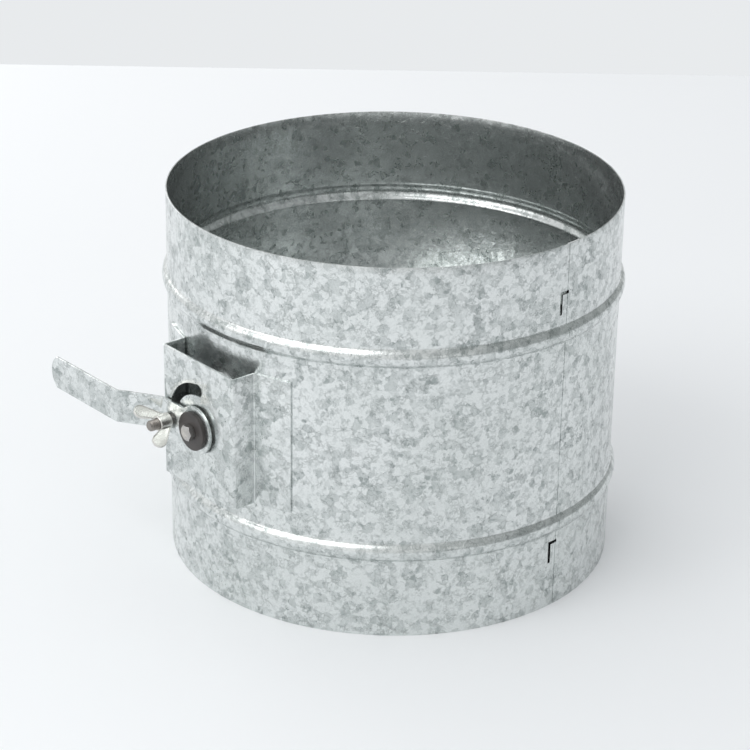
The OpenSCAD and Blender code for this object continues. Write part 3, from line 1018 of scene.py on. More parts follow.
    def build(self, finishes: Finishes) -> bpy.types.Object:
        """Builds the duct's piece."""
        bm = self.wall()
        for v in bm.verts:
            out = Vector((v.co.x, v.co.y, 0)).normalized()
            v.co += out * self.warp * noise.noise(Vector((out.x * 2.2, out.y * 2.2, v.co.z / 70)))
        rims = [
            e
            for e in bm.edges
            if len(e.link_faces) == 2
            and e.calc_face_angle() > math.radians(60)
            and all(min(abs(v.co.z), abs(v.co.z - self.height)) < 0.01 for v in e.verts)
        ]
        bmesh.ops.bevel(bm, geom=rims, offset=0.15, segments=2, profile=0.5, affect="EDGES", material=-1)
        return settle(bm, Piece("duct_wall", Body.DUCT, Slot.SHEET, ("casing",), 30.0), finishes.sheet)


@dataclass(frozen=True)
class Bracket:
    """The hat bracket, folded from one blank.

    Args:
        duct_r: Outer radius of the duct.
        spindle_z: Height of the spindle.
        middle_z: Height of the bracket's middle.
        width: Width over the side walls.
        height: Height of the bracket.
        plate_out: Distance from the duct's axis to the plate's outer face.
        sheet: Thickness of the sheet.
        bend_r: Outside radius of the bends.
        flange_w: Width of a flange on the duct.
        hole_d: Diameter of the bush hole.
        slot_r: Middle radius of the curved slot.
        slot_w: Width of the slot.
        slot_end_d: Diameter of the slot's round ends.
        bolt_low: Angle of the slot's left end below the spindle, in degrees.
    """

    duct_r: float = 125.0
    spindle_z: float = 103.5
    middle_z: float = 105.0
    width: float = 61.0
    height: float = 75.0
    plate_out: float = 136.25
    sheet: float = 1.2
    bend_r: float = 1.6
    flange_w: float = 22.0
    hole_d: float = 13.0
    slot_r: float = 22.2
    slot_w: float = 6.5
    slot_end_d: float = 7.4
    bolt_low: float = 5.0

    def slot_loop(self) -> list[Point]:
        """Works out the curved slot round the spindle, its ends a little wider than the slot."""
        end_r = self.slot_end_d / 2
        outer = self.slot_r + self.slot_w / 2
        inner = self.slot_r - self.slot_w / 2
        meet_out = (outer**2 - self.slot_r**2 - end_r**2) / (2 * self.slot_r)
        meet_in = (inner**2 - self.slot_r**2 - end_r**2) / (2 * self.slot_r)
        out_turn = math.degrees(math.acos(meet_out / end_r))
        in_turn = math.degrees(math.acos(meet_in / end_r))
        out_gap = math.degrees(math.asin(end_r * math.sin(math.radians(out_turn)) / outer))
        in_gap = math.degrees(math.asin(end_r * math.sin(math.radians(in_turn)) / inner))
        upper_end = arc(0, self.slot_r, end_r, 90 + out_turn, 90 - in_turn, 18)
        twice = math.radians(270 + self.bolt_low)
        swap = Matrix(((math.cos(twice), math.sin(twice)), (math.sin(twice), -math.cos(twice))))
        left_end = [tuple(swap @ Vector(p)) for p in upper_end][::-1]
        outer_run = arc(0, 0, outer, 180 + self.bolt_low - out_gap, 90 + out_gap, 18)
        inner_run = arc(0, 0, inner, 90 + in_gap, 180 + self.bolt_low - in_gap, 14)
        return outer_run + upper_end[1:-1] + inner_run + left_end[1:-1]

    def build(self, finishes: Finishes) -> bpy.types.Object:
        """Builds the bracket's piece."""
        half = self.width / 2
        flat = half - self.bend_r
        low = self.middle_z - self.height / 2
        high = self.middle_z + self.height / 2
        face_y = -self.plate_out
        sheet = FoldedSheet()
        corners = [(-flat, face_y, low), (flat, face_y, low), (flat, face_y, high), (-flat, face_y, high)]
        slot = [(x, face_y, self.spindle_z + z) for x, z in self.slot_loop()]
        bush = [(x, face_y, self.spindle_z + z) for x, z in arc(0, 0, self.hole_d / 2, 0, 360, 48)[:-1]]
        verts = sheet.blank(corners, [slot, bush])
        foot_x = half - self.sheet + self.bend_r
        foot_r = self.duct_r + self.bend_r
        foot_s = math.sqrt(foot_r**2 - foot_x**2)
        foot_turn = math.degrees(math.asin(foot_x / foot_r))
        bend_s = self.plate_out - self.bend_r
        for side, pair in ((1, (verts[1], verts[2])), (-1, (verts[3], verts[0]))):
            row = [sheet.edge(*pair)]
            row = sheet.fold(row, (side * flat, -bend_s, 0), (0, 0, side), 90, 6)
            row = sheet.run(row, (0, bend_s - foot_s, 0))
            row = sheet.fold(row, (side * foot_x, -foot_s, 0), (0, 0, -side), 90 - foot_turn, 6)
            sheet.fold(row, (0, 0, 0), (0, 0, side), math.degrees(self.flange_w / self.duct_r), 8)
        bm = sheet.thicken(self.sheet, Vector((0, 1, 0)))
        soften(bm, 0.12)
        return settle(bm, Piece("hat_bracket", Body.DUCT, Slot.SHEET, ("bracket",), 30.0), finishes.plate)


def washer(low: float, high: float, outer: float, inner: float, edge: float = 0.15) -> BMesh:
    """Builds a ring with rounded outer edges, in the spindle's own direction."""
    return turned(rounded_disc(low, high, outer, inner, edge))


def hexagon(width: float, low: float, high: float, chamfer: float) -> BMesh:
    """Builds a hexagon head with a corner on the X axis and its outer corners turned down.

    Args:
        width: Width over the flats.
        low: Height of its foot.
        high: Height of its outer face.
        chamfer: How far down the corners are turned.

    Returns:
        The closed head.
    """
    corner = width / math.sqrt(3)
    bm = prism(arc(0, 0, corner, 0, 360, 6)[:-1], low, high)
    soften(bm, 0.12, 30.0)
    bmesh.ops.subdivide_edges(bm, edges=bm.edges[:], cuts=5, use_grid_fill=True)
    for v in bm.verts:
        over = max(0.0, math.hypot(v.co.x, v.co.y) - (width / 2 - 0.15))
        drop = over * chamfer / (corner - width / 2)
        v.co.z = min(v.co.z, high - drop)
    return bm


@dataclass(frozen=True)
class Bushes:
    """The three nylon bushes of the spindle.

    Args:
        duct_r: Outer radius of the duct.
        spindle_z: Height of the spindle.
        outer_r: Radius of a bush's body.
        bore_r: Radius of its bore.
        flange_r: Radius of its flange.
        inner_end: Distance of a duct bush's inner end from the duct's axis.
        outer_end: Distance of a duct bush's outer face from the duct's axis.
        tail_end: Distance of the bracket bush's inner end from the duct's axis.
        plate_out: Distance of the plate's outer face.
        face: Distance of the bracket bush's outer face.
    """

    duct_r: float = 125.0
    spindle_z: float = 103.5
    outer_r: float = 6.5
    bore_r: float = 5.05
    flange_r: float = 9.0
    inner_end: float = 123.7
    outer_end: float = 126.8
    tail_end: float = 132.05
    plate_out: float = 136.25
    face: float = 137.25

    def section(self, low: float, shoulder: float, high: float) -> list[Point]:
        """Works out a bush's section, its flange outside the shoulder."""
        soft = 0.2
        return [
            (self.bore_r + soft, low),
            (self.outer_r - soft, low),
            (self.outer_r, low + soft),
            (self.outer_r, shoulder),
            (self.outer_r + 1.2, shoulder),
            (self.flange_r, shoulder),
            *arc(self.flange_r - soft, high - soft, soft, 0, 90, 4),
            (self.bore_r + soft, high),
            (self.bore_r, high - soft),
            (self.bore_r, low + soft),
        ]

    def on_duct(self) -> BMesh:
        """Builds a duct bush with its flange hollowed to the duct."""
        bm = turned(self.section(self.inner_end, self.duct_r, self.outer_end))
        for v in bm.verts:
            if abs(v.co.z - self.duct_r) < 0.01:
                v.co.z = math.sqrt(self.duct_r**2 - v.co.x**2)
        return bm

    def build(self, finishes: Finishes) -> None:
        """Builds the three bushes' pieces."""
        near = toward_handle(self.spindle_z)
        far = toward_far_wall(self.spindle_z)
        plate = turned(self.section(self.tail_end, self.plate_out, self.face))
        for name, node, bm, place in (
            ("plate_bush", "bracket_bush", plate, near),
            ("drive_side_bush", "drive_bush", self.on_duct(), near),
            ("far_side_bush", "idle_bush", self.on_duct(), far),
        ):
            settle(bm, Piece(name, Body.DUCT, Slot.NYLON, (node,)), finishes.nylon, place)


@dataclass(frozen=True)
class Spindle:
    """The shaft across the duct, with the blade's flat, a squared end and a ring groove.

    Args:
        spindle_z: Height of the spindle.
        radius: Radius of the shaft.
        far_end: Distance of the far end from the duct's axis.
        groove: First and last distance of the ring groove.
        groove_r: Radius at the groove's bottom.
        flat: Distance of the flat from the spindle's axis.
        flat_half: Half the length of the flat.
        square: Half the width of the squared end.
        square_from: Where the squared end starts.
        end: Distance of the drive end.
        bore_r: Radius of the screw hole.
        bore_from: Distance of the screw hole's bottom.
    """

    spindle_z: float = 103.5
    radius: float = 5.0
    far_end: float = -131.6
    groove: Point = (-129.1, -127.8)
    groove_r: float = 4.4
    flat: float = 4.0
    flat_half: float = 122.6
    square: float = 4.0
    square_from: float = 137.25
    end: float = 138.6
    bore_r: float = 2.55
    bore_from: float = 124.25

    def build(self, finishes: Finishes) -> bpy.types.Object:
        """Builds the spindle's piece."""
        soft = 0.4
        low, high = self.groove
        bm = turned(
            [
                (0.0, self.far_end),
                (self.radius - soft, self.far_end),
                (self.radius, self.far_end + soft),
                (self.radius, low),
                (self.groove_r, low),
                (self.groove_r, high),
                (self.radius, high),
                (self.radius, self.end - soft / 2),
                (self.radius - soft / 2, self.end),
                (self.bore_r, self.end),
                (self.bore_r, self.bore_from),
                (0.0, self.bore_from - self.bore_r / 2),
            ],
            80,
        )
        step = 0.04
        cuts = (-self.flat_half - step, -self.flat_half, self.flat_half, self.flat_half + step)
        for at in (*cuts, self.square_from, self.square_from + step):
            bmesh.ops.bisect_plane(
                bm, geom=bm.verts[:] + bm.edges[:] + bm.faces[:], dist=1e-5, plane_co=(0, 0, at), plane_no=(0, 0, 1)
            )
        for v in bm.verts:
            if abs(v.co.z) < self.flat_half + step / 2:
                v.co.y = min(v.co.y, self.flat)
            if v.co.z > self.square_from + step / 2:
                v.co.x = max(-self.square, min(self.square, v.co.x))
                v.co.y = max(-self.square, min(self.square, v.co.y))
        bmesh.ops.recalc_face_normals(bm, faces=bm.faces)
        piece = Piece("spindle_shaft", Body.BLADE_SET, Slot.STEEL, ("spindle",))
        return settle(bm, piece, finishes.steel, toward_handle(self.spindle_z))


@dataclass(frozen=True)
class Blade:
    """The round blade with its three saddle clips and their rivets.

    Args:
        spindle_z: Height of the spindle.
        rest: Distance of the blade's lower face over the spindle's axis.
        radius: Radius of the blade.
        sheet: Thickness of the blade.
        clip_at: Distances of the clips from the middle.
        clip_w: Width of a clip.
        clip_t: Thickness of a clip.
        saddle_r: Inner radius of a clip's saddle.
        ear: Length of a clip's ear.
        rivet_x: Distance of a rivet from the spindle's axis.
        rivet_r: Radius of a rivet's shank.
        head_r: Radius of a rivet's head.
        foot_r: Radius of its other head.
        head_h: Height of its heads.
    """

    spindle_z: float = 103.5
    rest: float = 4.0
    radius: float = 122.0
    sheet: float = 1.5
    clip_at: tuple[float, float, float] = (-82.0, 0.0, 82.0)
    clip_w: float = 18.0
    clip_t: float = 1.5
    saddle_r: float = 5.05
    ear: float = 13.0
    rivet_x: float = 13.05
    rivet_r: float = 2.0
    head_r: float = 4.0
    foot_r: float = 3.2
    head_h: float = 1.4

    def disc(self) -> BMesh:
        """Builds the blade's disc with its rivet holes."""
        level = self.spindle_z + self.rest + self.sheet
        holes = [
            [(x + px, y + py, level) for px, py in arc(0, 0, self.rivet_r + 0.05, 0, 360, 24)[:-1]]
            for y in self.clip_at
            for x in (-self.rivet_x, self.rivet_x)
        ]
        sheet = FoldedSheet()
        sheet.blank([(x, y, level) for x, y in arc(0, 0, self.radius, 0, 360, 240)[:-1]], holes)
        bm = sheet.thicken(self.sheet, Vector((0, 0, -1)))
        soften(bm, 0.15)
        return bm

    def clip(self, y: float) -> BMesh:
        """Builds one saddle clip, its ears under the blade.

        Args:
            y: Place of the clip's middle along the spindle.

        Returns:
            The closed clip.
        """
        half = self.clip_w / 2
        reach = self.saddle_r + self.clip_t
        foot = 1.2
        low = self.rest - self.clip_t
        line = [
            *arc(0, 0, self.saddle_r, 180, 360, 24),
            (self.saddle_r, self.rest),
            (reach + self.ear, self.rest),
            (reach + self.ear, low),
            *arc(reach + foot, low - foot, foot, 90, 180, 5),
            *arc(0, 0, reach, 0, -180, 28),
            *arc(-reach - foot, low - foot, foot, 0, 90, 5),
            (-reach - self.ear, low),
            (-reach - self.ear, self.rest),
            (-self.saddle_r, self.rest),
        ]
        bm = prism(line, -half, half)
        soften(bm, 0.15)
        turn = Matrix.Translation((0, y, self.spindle_z)) @ Matrix.Rotation(math.radians(90), 4, "X")
        bmesh.ops.transform(bm, matrix=turn, verts=bm.verts)
        return bm

    def rivet(self, x: float, y: float) -> BMesh:
        """Builds one rivet through the blade and an ear."""

        def dome(radius: float, base: float, way: int) -> list[Point]:
            ball = (radius**2 + self.head_h**2) / (2 * self.head_h)
            swing = math.degrees(math.asin(radius / ball))
            middle = base + way * (self.head_h - ball)
            return [(px, middle + way * (py - 0)) for px, py in arc(0, 0, ball, 90 - swing, 90, 8)]

        level = self.spindle_z + self.rest
        low = level - self.clip_t
        high = level + self.sheet
        lower = dome(self.foot_r, low, -1)[::-1]
        upper = dome(self.head_r, high, 1)
        bm = turned([*lower, (self.rivet_r, low), (self.rivet_r, high), *upper], 32)
        bmesh.ops.translate(bm, vec=(x, y, 0), verts=bm.verts)
        return bm

    def build(self, finishes: Finishes) -> None:
        """Builds the pieces of the blade, its clips and rivets."""
        settle(self.disc(), Piece("damper_blade", Body.BLADE_SET, Slot.SHEET, ("blade",)), finishes.plate)
        for y, node in zip(self.clip_at, ("clip_drive_end", "clip_middle", "clip_idle_end")):
            piece = Piece("saddle_" + node, Body.BLADE_SET, Slot.SHEET, (node,))
            settle(self.clip(y), piece, finishes.plate)
        rivets = merged(*(self.rivet(x, y) for y in self.clip_at for x in (-self.rivet_x, self.rivet_x)))
        settle(rivets, Piece("blade_rivets", Body.BLADE_SET, Slot.STEEL, ("clip_rivets",)), finishes.steel)


@dataclass(frozen=True)
class Handle:
    """The cranked handle with its dark disc and hexagon screw.

    Args:
        spindle_z: Height of the spindle.
        back: Distance of the strap's back from the duct's axis.
        sheet: Thickness of the strap.
        width: Width of the strap.
        head_r: Radius of its head.
        reach: Length from the spindle to the tip.
        tip_r: Radius of the tip's arc.
        crank: First and last distance of the sloping part.
        lift: Height of the crank.
        bend_r: Middle radius of the bends.
        square: Half the width of the squared hole.
        square_r: Radius of its round corners.
        bolt_at: Place of the bolt hole.
        bolt_r: Radius of the bolt hole.
        disc_r: Radius of the dark disc.
        disc_t: Thickness of the dark disc.
        screw_w: Width over the screw head's flats.
        screw_h: Height of the screw's head.
        screw_r: Radius of the screw.
        screw_from: Distance of the screw's tip.
    """

    spindle_z: float = 103.5
    back: float = 137.25
    sheet: float = 1.5
    width: float = 18.6
    head_r: float = 13.3
    reach: float = 112.5
    tip_r: float = 11.5
    crank: Point = (28.5, 51.5)
    lift: float = 14.5
    bend_r: float = 4.0
    square: float = 4.05
    square_r: float = 5.05
    bolt_at: Point = (-22.1155, -1.9349)
    bolt_r: float = 3.2
    disc_r: float = 10.75
    disc_t: float = 2.5
    screw_w: float = 8.0
    screw_h: float = 3.5
    screw_r: float = 2.5
    screw_from: float = 125.25

    def outline(self) -> list[Point]:
        """Works out the strap's face from above: round head, straight sides, arc at the tip."""
        half = self.width / 2
        neck = math.degrees(math.asin(half / self.head_r))
        tip = math.degrees(math.asin(half / self.tip_r))
        return arc(0, 0, self.head_r, neck - 180, 180 - neck, 56) + arc(
            -self.reach + self.tip_r, 0, self.tip_r, 180 - tip, 180 + tip, 28
        )

    def square_hole(self) -> list[Point]:
        """Works out the squared hole with its round corners."""
        return [
            (max(-self.square, min(self.square, x)), max(-self.square, min(self.square, y)))
            for x, y in arc(0, 0, self.square_r, 0, 360, 48)[:-1]
        ]

    def front_line(self) -> list[Point]:
        """Works out the strap's front side from the head to the tip, as (x, distance)."""
        slope = math.degrees(math.atan(self.lift / (self.crank[1] - self.crank[0])))
        back_off = self.bend_r * math.tan(math.radians(slope / 2))
        off = self.sheet / 2
        middle = self.back + off
        first = arc(-self.crank[0] + back_off, self.bend_r, self.bend_r - off, 270, 270 - slope, 6)
        second = arc(-self.crank[1] - back_off, self.lift - self.bend_r, self.bend_r + off, 90 - slope, 90, 6)
        return [(x, middle + z) for x, z in first + second]

    def strap(self) -> BMesh:
        """Builds the strap: a pierced blank, creased across and lifted along its crank."""
        sheet = FoldedSheet()
        bolt = arc(*self.bolt_at, self.bolt_r, 0, 360, 40)[:-1]
        blank = [(x, y, 0.0) for x, y in self.outline()]
        sheet.blank(blank, [[(x, y, 0.0) for x, y in loop] for loop in (self.square_hole(), bolt)])
        line = self.front_line()
        for x, _ in line:
            everything = sheet.bm.verts[:] + sheet.bm.edges[:] + sheet.bm.faces[:]
            bmesh.ops.bisect_plane(sheet.bm, geom=everything, dist=1e-4, plane_co=(x, 0, 0), plane_no=(1, 0, 0))
        for v in sheet.bm.verts:
            v.co.z = self.height_at(v.co.x, line)
        bm = sheet.thicken(self.sheet, Vector((0, 0, -1)))
        soften(bm, 0.22, 60.0, 3)
        return bm

    @staticmethod
    def height_at(x: float, line: Sequence[Point]) -> float:
        """Reads the front side's distance at a place along the strap."""
        if x >= line[0][0]:
            return line[0][1]
        for (x0, z0), (x1, z1) in zip(line, line[1:]):
            if x1 <= x <= x0:
                return z0 + (z1 - z0) * (x0 - x) / (x0 - x1) if x0 > x1 else z0
        return line[-1][1]

    def build(self, finishes: Finishes) -> None:
        """Builds the pieces of the handle."""
        place = toward_handle(self.spindle_z)
        settle(self.strap(), Piece("cranked_handle", Body.BLADE_SET, Slot.SHEET, ("handle",)), finishes.plate, place)
        face = self.back + self.sheet
        top = face + self.disc_t
        disc = washer(face, top, self.disc_r, self.screw_r + 0.4, 0.45)
        settle(disc, Piece("clamping_disc", Body.BLADE_SET, Slot.DARK, ("hub_disc",)), finishes.dark, place)
        shank = turned([(0.0, self.screw_from), (self.screw_r - 0.4, self.screw_from), (self.screw_r, self.screw_from + 0.4), (self.screw_r, top + 0.2), (0.0, top + 0.2)], 40)
        screw = merged(hexagon(self.screw_w, top, top + self.screw_h, 0.5), shank)
        piece = Piece("clamping_screw", Body.BLADE_SET, Slot.STEEL, ("hub_screw",), 25.0)
        settle(screw, piece, finishes.screw, place)


@dataclass(frozen=True)
class Lock:
    """The bolt in the slot with its washer and wing nut.

    Args:
        spindle_z: Height of the spindle.
        at: Place of the bolt's axis beside the spindle's.
        plate: Distances of the plate's inner and outer face.
        face: Distance of the handle's outer face.
        bolt_r: Radius of the bolt.
        end: Distance of the bolt's end.
        pitch: Pitch of the thread.
        thread_h: Depth of the thread.
        thread_from: Where the thread starts.
        head_w: Width over the flats of its head.
        head_h: Height of its head.
        washer_r: Radius of the friction washer.
        hole_r: Radius of the washer's hole.
        hub_r: Radius of the wing nut's hub at its foot and at its face.
        nut_h: Height of the hub.
        bore_r: Radius of the nut's bore.
        gap: Gap between the handle and the loosened nut.
        lobe_x: Distance of a lobe's middle from the bolt's axis.
        lobe_h: Height of a lobe's middle.
        lobe_r: Radius of a lobe.
        wing_t: Thickness of a wing.
        wing_turn: Turn of the wings in degrees.
    """

    spindle_z: float = 103.5
    at: Point = (-22.1155, -1.9349)
    plate: Point = (135.05, 136.25)
    face: float = 138.75
    bolt_r: float = 3.0
    end: float = 152.35
    pitch: float = 1.0
    thread_h: float = 0.55
    thread_from: float = 139.0
    head_w: float = 10.0
    head_h: float = 4.0
    washer_r: float = 6.3
    hole_r: float = 3.2
    hub_r: Point = (4.65, 4.3)
    nut_h: float = 7.0
    bore_r: float = 3.05
    gap: float = 1.2
    lobe_x: float = 9.9
    lobe_h: float = 11.6
    lobe_r: float = 4.0
    wing_t: float = 1.8
    wing_turn: float = -34.0

    @property
    def place(self) -> Matrix:
        """Places a shape modelled on the bolt's axis."""
        return toward_handle(self.spindle_z) @ Matrix.Translation((*self.at, 0))

    def shank(self) -> BMesh:
        """Builds the shank with a true screw thread on its free end."""
        fine = self.pitch / 8
        rows = round((self.end - 0.7 - self.thread_from) / fine)
        thread = [(self.bolt_r, self.thread_from + i * fine) for i in range(rows + 1)]
        tip = [(self.bolt_r - 0.7, self.end), (0.0, self.end)]
        start = self.plate[0] - 0.2
        bm = turned([(0.0, start), (self.bolt_r, start), *thread, *tip], 40)
        last = thread[-1][1]
        for v in bm.verts:
            radius = math.hypot(v.co.x, v.co.y)
            if self.thread_from < v.co.z < last + 0.01 and radius > 1.0:
                turn = math.atan2(v.co.y, v.co.x) / math.tau
                phase = (v.co.z / self.pitch - turn) % 1.0
                depth = self.thread_h * max(0.0, 1 - abs(phase - 0.5) / 0.44)
                fade = min(1.0, (v.co.z - self.thread_from) / self.pitch)
                v.co.xy *= (self.bolt_r - depth * fade) / radius
        return bm

    def bolt(self) -> BMesh:
        """Builds the bolt, its hexagon head behind the plate."""
        inner = self.plate[0]
        head = hexagon(self.head_w, -inner, self.head_h - inner, 0.6)
        bmesh.ops.rotate(head, matrix=Matrix.Rotation(math.pi, 3, "X"), verts=head.verts)
        return merged(self.shank(), head)

    def touching(self, point: Point, side: int) -> float:
        """Finds where a line from a point touches the lobe.

        Args:
            point: The point in the wing's plane.
            side: Which of the two touching lines, 1 or -1.

        Returns:
            The direction of the touched place from the lobe's middle, in degrees.
        """
        across = point[0] - self.lobe_x
        along = point[1] - self.lobe_h
        return math.degrees(math.atan2(along, across) + side * math.acos(self.lobe_r / math.hypot(across, along)))

    def wing(self) -> BMesh:
        """Builds one wing: a neck that widens into a round dished lobe."""
        root = self.bore_r + 0.4
        foot = (self.hub_r[0], 0.8)
        brow = (root, self.nut_h - 0.4)
        start = self.touching(foot, 1)
        end = self.touching(brow, -1) + 360
        outline = [
            (root, foot[1]),
            foot,
            *arc(self.lobe_x, self.lobe_h, self.lobe_r, start, end, 30),
            brow,
        ]
        bm = prism(outline, -self.wing_t / 2, self.wing_t / 2)
        sides = [f for f in bm.faces if abs(f.normal.z) > 0.9]
        bmesh.ops.inset_region(bm, faces=sides, thickness=0.75, depth=-0.32, use_even_offset=True)
        bmesh.ops.rotate(bm, matrix=Matrix.Rotation(math.radians(90), 3, "X"), verts=bm.verts)
        return bm

    def nut(self) -> BMesh:
        """Builds the wing nut's raw shape, hub and two wings through each other."""
        foot, top = self.hub_r
        hub = turned(
            [
                (self.bore_r, 0.0),
                (foot, 0.0),
                (foot - 0.05, 1.0),
                (top, self.nut_h - 0.4),
                (top - 0.4, self.nut_h),
                (self.bore_r + 0.3, self.nut_h),
                (self.bore_r, self.nut_h - 0.3),
            ],
            64,
        )
        other = self.wing()
        bmesh.ops.rotate(other, matrix=Matrix.Rotation(math.pi, 3, "Z"), verts=other.verts)
        return merged(hub, self.wing(), other)

    def build(self, finishes: Finishes) -> None:
        """Builds the pieces of the lock."""
        piece = Piece("slot_bolt", Body.BLADE_SET, Slot.STEEL, ("lock_bolt",), 30.0)
        settle(self.bolt(), piece, finishes.stained, self.place)
        ring = washer(self.plate[1], self.face - 1.5, self.washer_r, self.hole_r)
        piece = Piece("slot_washer", Body.BLADE_SET, Slot.STEEL, ("friction_washer",))
        settle(ring, piece, finishes.steel, self.place)
        turn = Matrix.Translation((0, 0, self.face + self.gap)) @ Matrix.Rotation(math.radians(self.wing_turn), 4, "Z")
        piece = Piece("butterfly_nut", Body.NUT, Slot.NICKEL, ("wing_nut",), 60.0)
        nut = settle(self.nut(), piece, finishes.nickel, self.place @ turn)
        remesh = nut.modifiers.new("cast_as_one", "REMESH")
        remesh.mode = "VOXEL"
        remesh.voxel_size = 0.15 * MM
        remesh.use_smooth_shade = True
        smooth = nut.modifiers.new("cast_fillets", "SMOOTH")
        smooth.factor = 0.5
        smooth.iterations = 3


@dataclass(frozen=True)
class FarEnd:
    """The thrust washer and the open retaining ring on the spindle's far end.

    Args:
        spindle_z: Height of the spindle.
        washer_from: Distance of the washer's inner face from the duct's axis.
        washer_t: Thickness of the washer.
        washer_r: Radius of the washer.
        bore_r: Radius of its bore.
        ring_t: Thickness of the retaining ring.
        ring_r: Outer radius of the ring.
        ring_bore: Inner radius of the ring.
        gap: Width of the ring's mouth.
    """

    spindle_z: float = 103.5
    washer_from: float = 126.8
    washer_t: float = 1.0
    washer_r: float = 9.0
    bore_r: float = 5.05
    ring_t: float = 1.2
    ring_r: float = 7.8
    ring_bore: float = 4.45
    gap: float = 5.0

    def ring(self, low: float) -> BMesh:
        """Builds the open ring, its mouth downwards."""
        outer = math.degrees(math.asin(self.gap / 2 / self.ring_r))
        inner = math.degrees(math.asin(self.gap / 2 / self.ring_bore))
        line = arc(0, 0, self.ring_r, 90 + outer, 450 - outer, 64)
        line += arc(0, 0, self.ring_bore, 450 - inner, 90 + inner, 48)
        bm = prism(line, low, low + self.ring_t)
        soften(bm, 0.18)
        return bm

    def build(self, finishes: Finishes) -> None:
        """Builds the pieces of the far end."""
        place = toward_far_wall(self.spindle_z)
        outer = self.washer_from + self.washer_t
        ring = washer(self.washer_from, outer, self.washer_r, self.bore_r)
        settle(ring, Piece("far_washer", Body.DUCT, Slot.STEEL, ("thrust_washer",)), finishes.steel, place)
        piece = Piece("open_ring", Body.BLADE_SET, Slot.SPRING, ("retaining_ring",))
        settle(self.ring(outer), piece, finishes.spring, place)


@dataclass(frozen=True)
class PhotoCamera:
    """The camera that took the photograph, fitted to the duct's rims.

    Args:
        focal_px: Focal length in pixels of the photograph.
        elevation: Angle over the horizon in degrees.
        azimuth: Direction of the camera from -Y towards +X, in degrees.
        roll: Roll in degrees.
        distance: Distance along the view to the duct's middle, in millimetres.
        middle_px: Where the duct's middle lies in the photograph.
        middle_z: Height of the duct's middle in millimetres.
        sensor: Width of the sensor in millimetres.
    """

    focal_px: float = 2435.35
    elevation: float = 24.2909
    azimuth: float = 48.9
    roll: float = 0.9003
    distance: float = 1370.5
    middle_px: Point = (392.0233, 360.0532)
    middle_z: float = 105.5
    sensor: float = 36.0

    def build(self) -> bpy.types.Object:
        """Makes the scene's camera.

        Returns:
            The camera.
        """
        e, r, a = (math.radians(v) for v in (self.elevation, self.roll, self.azimuth))
        right = Vector((math.cos(a), math.sin(a), 0))
        ahead = Vector((-math.sin(a) * math.cos(e), math.cos(a) * math.cos(e), -math.sin(e)))
        up = right.cross(ahead)
        level = right * math.cos(r) + up * math.sin(r)
        upright = -right * math.sin(r) + up * math.cos(r)
        half = PHOTO_SIDE / 2
        across = (self.middle_px[0] - half) / self.focal_px * self.distance
        above = -(self.middle_px[1] - half) / self.focal_px * self.distance
        eye = Vector((0, 0, self.middle_z)) - (level * across + upright * above + ahead * self.distance)
        data = bpy.data.cameras.new("photo_camera")
        data.sensor_width = self.sensor
        data.lens = self.sensor * self.focal_px / PHOTO_SIDE
        data.clip_start = 0.05
        data.clip_end = 60.0
        camera = bpy.data.objects.new("photo_camera", data)
        turn = Matrix((level, upright, -ahead)).transposed().to_4x4()
        camera.matrix_world = Matrix.Translation(eye * MM) @ turn
        bpy.context.scene.collection.objects.link(camera)
        bpy.context.scene.camera = camera
        log.info("camera stands at %s mm", tuple(round(v) for v in eye))
        return camera


@dataclass(frozen=True)
class Lamp:
    """One soft rectangular lamp that looks at the object.

    Args:
        name: The lamp's name.
        place: Where it stands, in metres.
        size: Its sides in metres.
        power: Its power in watts.
        tint: Its colour.
    """

    name: str
    place: tuple[float, float, float]
    size: Point
    power: float
    tint: Colour = (1.0, 1.0, 1.0)

    def build(self, aim: Vector) -> None:
        """Hangs the lamp.

        Args:
            aim: The point that it looks at, in metres.
        """
        data = bpy.data.lights.new(self.name, "AREA")
        data.shape = "RECTANGLE"
        data.size, data.size_y = self.size
        data.energy = self.power
        data.color = self.tint
        lamp = bpy.data.objects.new(self.name, data)
        lamp.location = self.place
        lamp.rotation_euler = (aim - Vector(self.place)).to_track_quat("-Z", "Y").to_euler()
        bpy.context.scene.collection.objects.link(lamp)


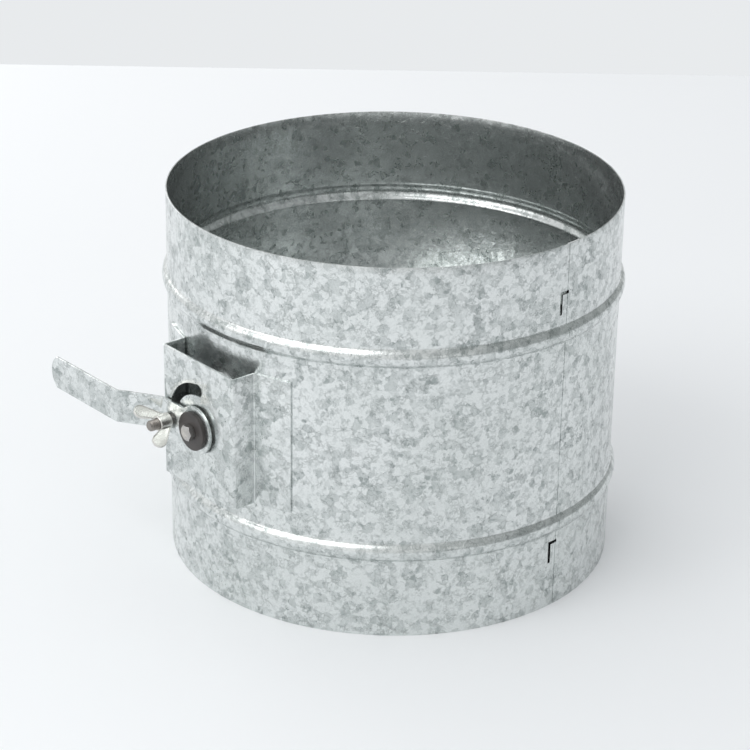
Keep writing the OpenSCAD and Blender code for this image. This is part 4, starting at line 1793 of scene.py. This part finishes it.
@dataclass(frozen=True)
class Studio:
    """Plain pale floor and backdrop, a pale room and soft lamps.

    Args:
        floor_half: Half the width of the floor in metres.
        floor_end: Distance of the floor's far edge behind the duct in metres.
        azimuth: Direction of the camera from -Y towards +X, in degrees.
        floor_colour: Colour of the floor.
        backdrop: Colour of the backdrop that the camera sees beyond the floor.
        room_bright: Colour of the room's bright side, as the metal shows it.
        room_dark: Colour of its dark side.
        dark_side: Direction of the dark side.
        room_light: Even light of the room on the scene.
        lamps: The lamps.
    """

    floor_half: float = 6.0
    floor_end: float = 0.89
    azimuth: float = 48.9
    floor_colour: Colour = (0.93, 0.945, 0.955)
    backdrop: Colour = (0.81, 0.83, 0.845)
    room_bright: Colour = (0.95, 0.96, 0.965)
    room_dark: Colour = (0.36, 0.38, 0.38)
    dark_side: Colour = (0.69, 0.72, 0.0)
    room_light: Colour = (0.745, 0.755, 0.768)
    lamps: tuple[Lamp, ...] = (
        Lamp("top_softbox", (0.22, -1.46, 1.75), (1.5, 1.1), 10.3),
        Lamp("front_softbox", (-0.55, -1.75, 1.2), (1.3, 0.9), 4.8),
        Lamp("left_softbox", (-1.55, 0.14, 0.75), (1.0, 0.7), 3.5),
        Lamp("right_softbox", (2.0, -0.54, 0.85), (0.8, 0.6), 0.4),
    )

    def floor(self) -> None:
        """Lays the floor under the duct, its far edge square to the camera's view."""
        turn = math.radians(self.azimuth)
        back = Vector((-math.sin(turn), math.cos(turn), 0))
        side = Vector((math.cos(turn), math.sin(turn), 0))
        bm = bmesh.new()
        corners = [
            side * x * self.floor_half + back * y
            for x, y in ((-1, -self.floor_half), (1, -self.floor_half), (1, self.floor_end), (-1, self.floor_end))
        ]
        bm.faces.new([bm.verts.new(corner) for corner in corners])
        mesh = bpy.data.meshes.new("floor")
        bm.to_mesh(mesh)
        bm.free()
        material, canvas, shader = start_material("pale_floor")
        place = canvas.put("TexCoord").outputs["Object"]
        cloud = canvas.put("TexNoise", {"noise_dimensions": "3D"}, Vector=place, Scale=3.0)
        low = tuple(c * 0.985 for c in self.floor_colour)
        tone = canvas.blend(cloud.outputs["Fac"], (*low, 1.0), (*self.floor_colour, 1.0))
        canvas.feed(shader.inputs["Base Color"], tone)
        shader.inputs["Roughness"].default_value = 0.75
        mesh.materials.append(material)
        floor = bpy.data.objects.new("floor", mesh)
        bpy.context.scene.collection.objects.link(floor)

    def room(self) -> None:
        """Surrounds the scene with a pale room that is darker behind the duct."""
        world = bpy.data.worlds.new("pale_room")
        bpy.context.scene.world = world
        world.use_nodes = True
        canvas = Canvas(world.node_tree)
        back = world.node_tree.nodes["Background"]
        rays = canvas.put("LightPath")
        sideways = canvas.put("VectorMath", {"operation": "DOT_PRODUCT"})
        canvas.feed(sideways.inputs[0], canvas.put("TexCoord").outputs["Generated"])
        sideways.inputs[1].default_value = self.dark_side
        shade = canvas.span(sideways.outputs["Value"], -0.3, 0.8, 0.0, 1.0)
        mirrored = canvas.blend(shade, (*self.room_bright, 1.0), (*self.room_dark, 1.0))
        colour = canvas.blend(rays.outputs["Is Glossy Ray"], (*self.room_light, 1.0), mirrored)
        colour = canvas.blend(rays.outputs["Is Camera Ray"], colour, (*self.backdrop, 1.0))
        canvas.feed(back.inputs["Color"], colour)
        back.inputs["Strength"].default_value = 1.0

    def build(self) -> None:
        """Sets up floor, room, lamps and view transform."""
        self.floor()
        self.room()
        aim = Vector((0, 0, 0.1))
        for lamp in self.lamps:
            lamp.build(aim)
        bpy.context.scene.view_settings.view_transform = "Standard"


def main() -> None:
    """Builds the whole scene."""
    logging.basicConfig(level=logging.INFO, format="%(name)s: %(message)s")
    PhotoCamera().build()
    Studio().build()
    finishes = Finishes(Effects())
    for part in (Duct(), Bracket(), Bushes(), Spindle(), Blade(), Handle(), Lock(), FarEnd()):
        part.build(finishes)


if __name__ == "__main__":
    main()
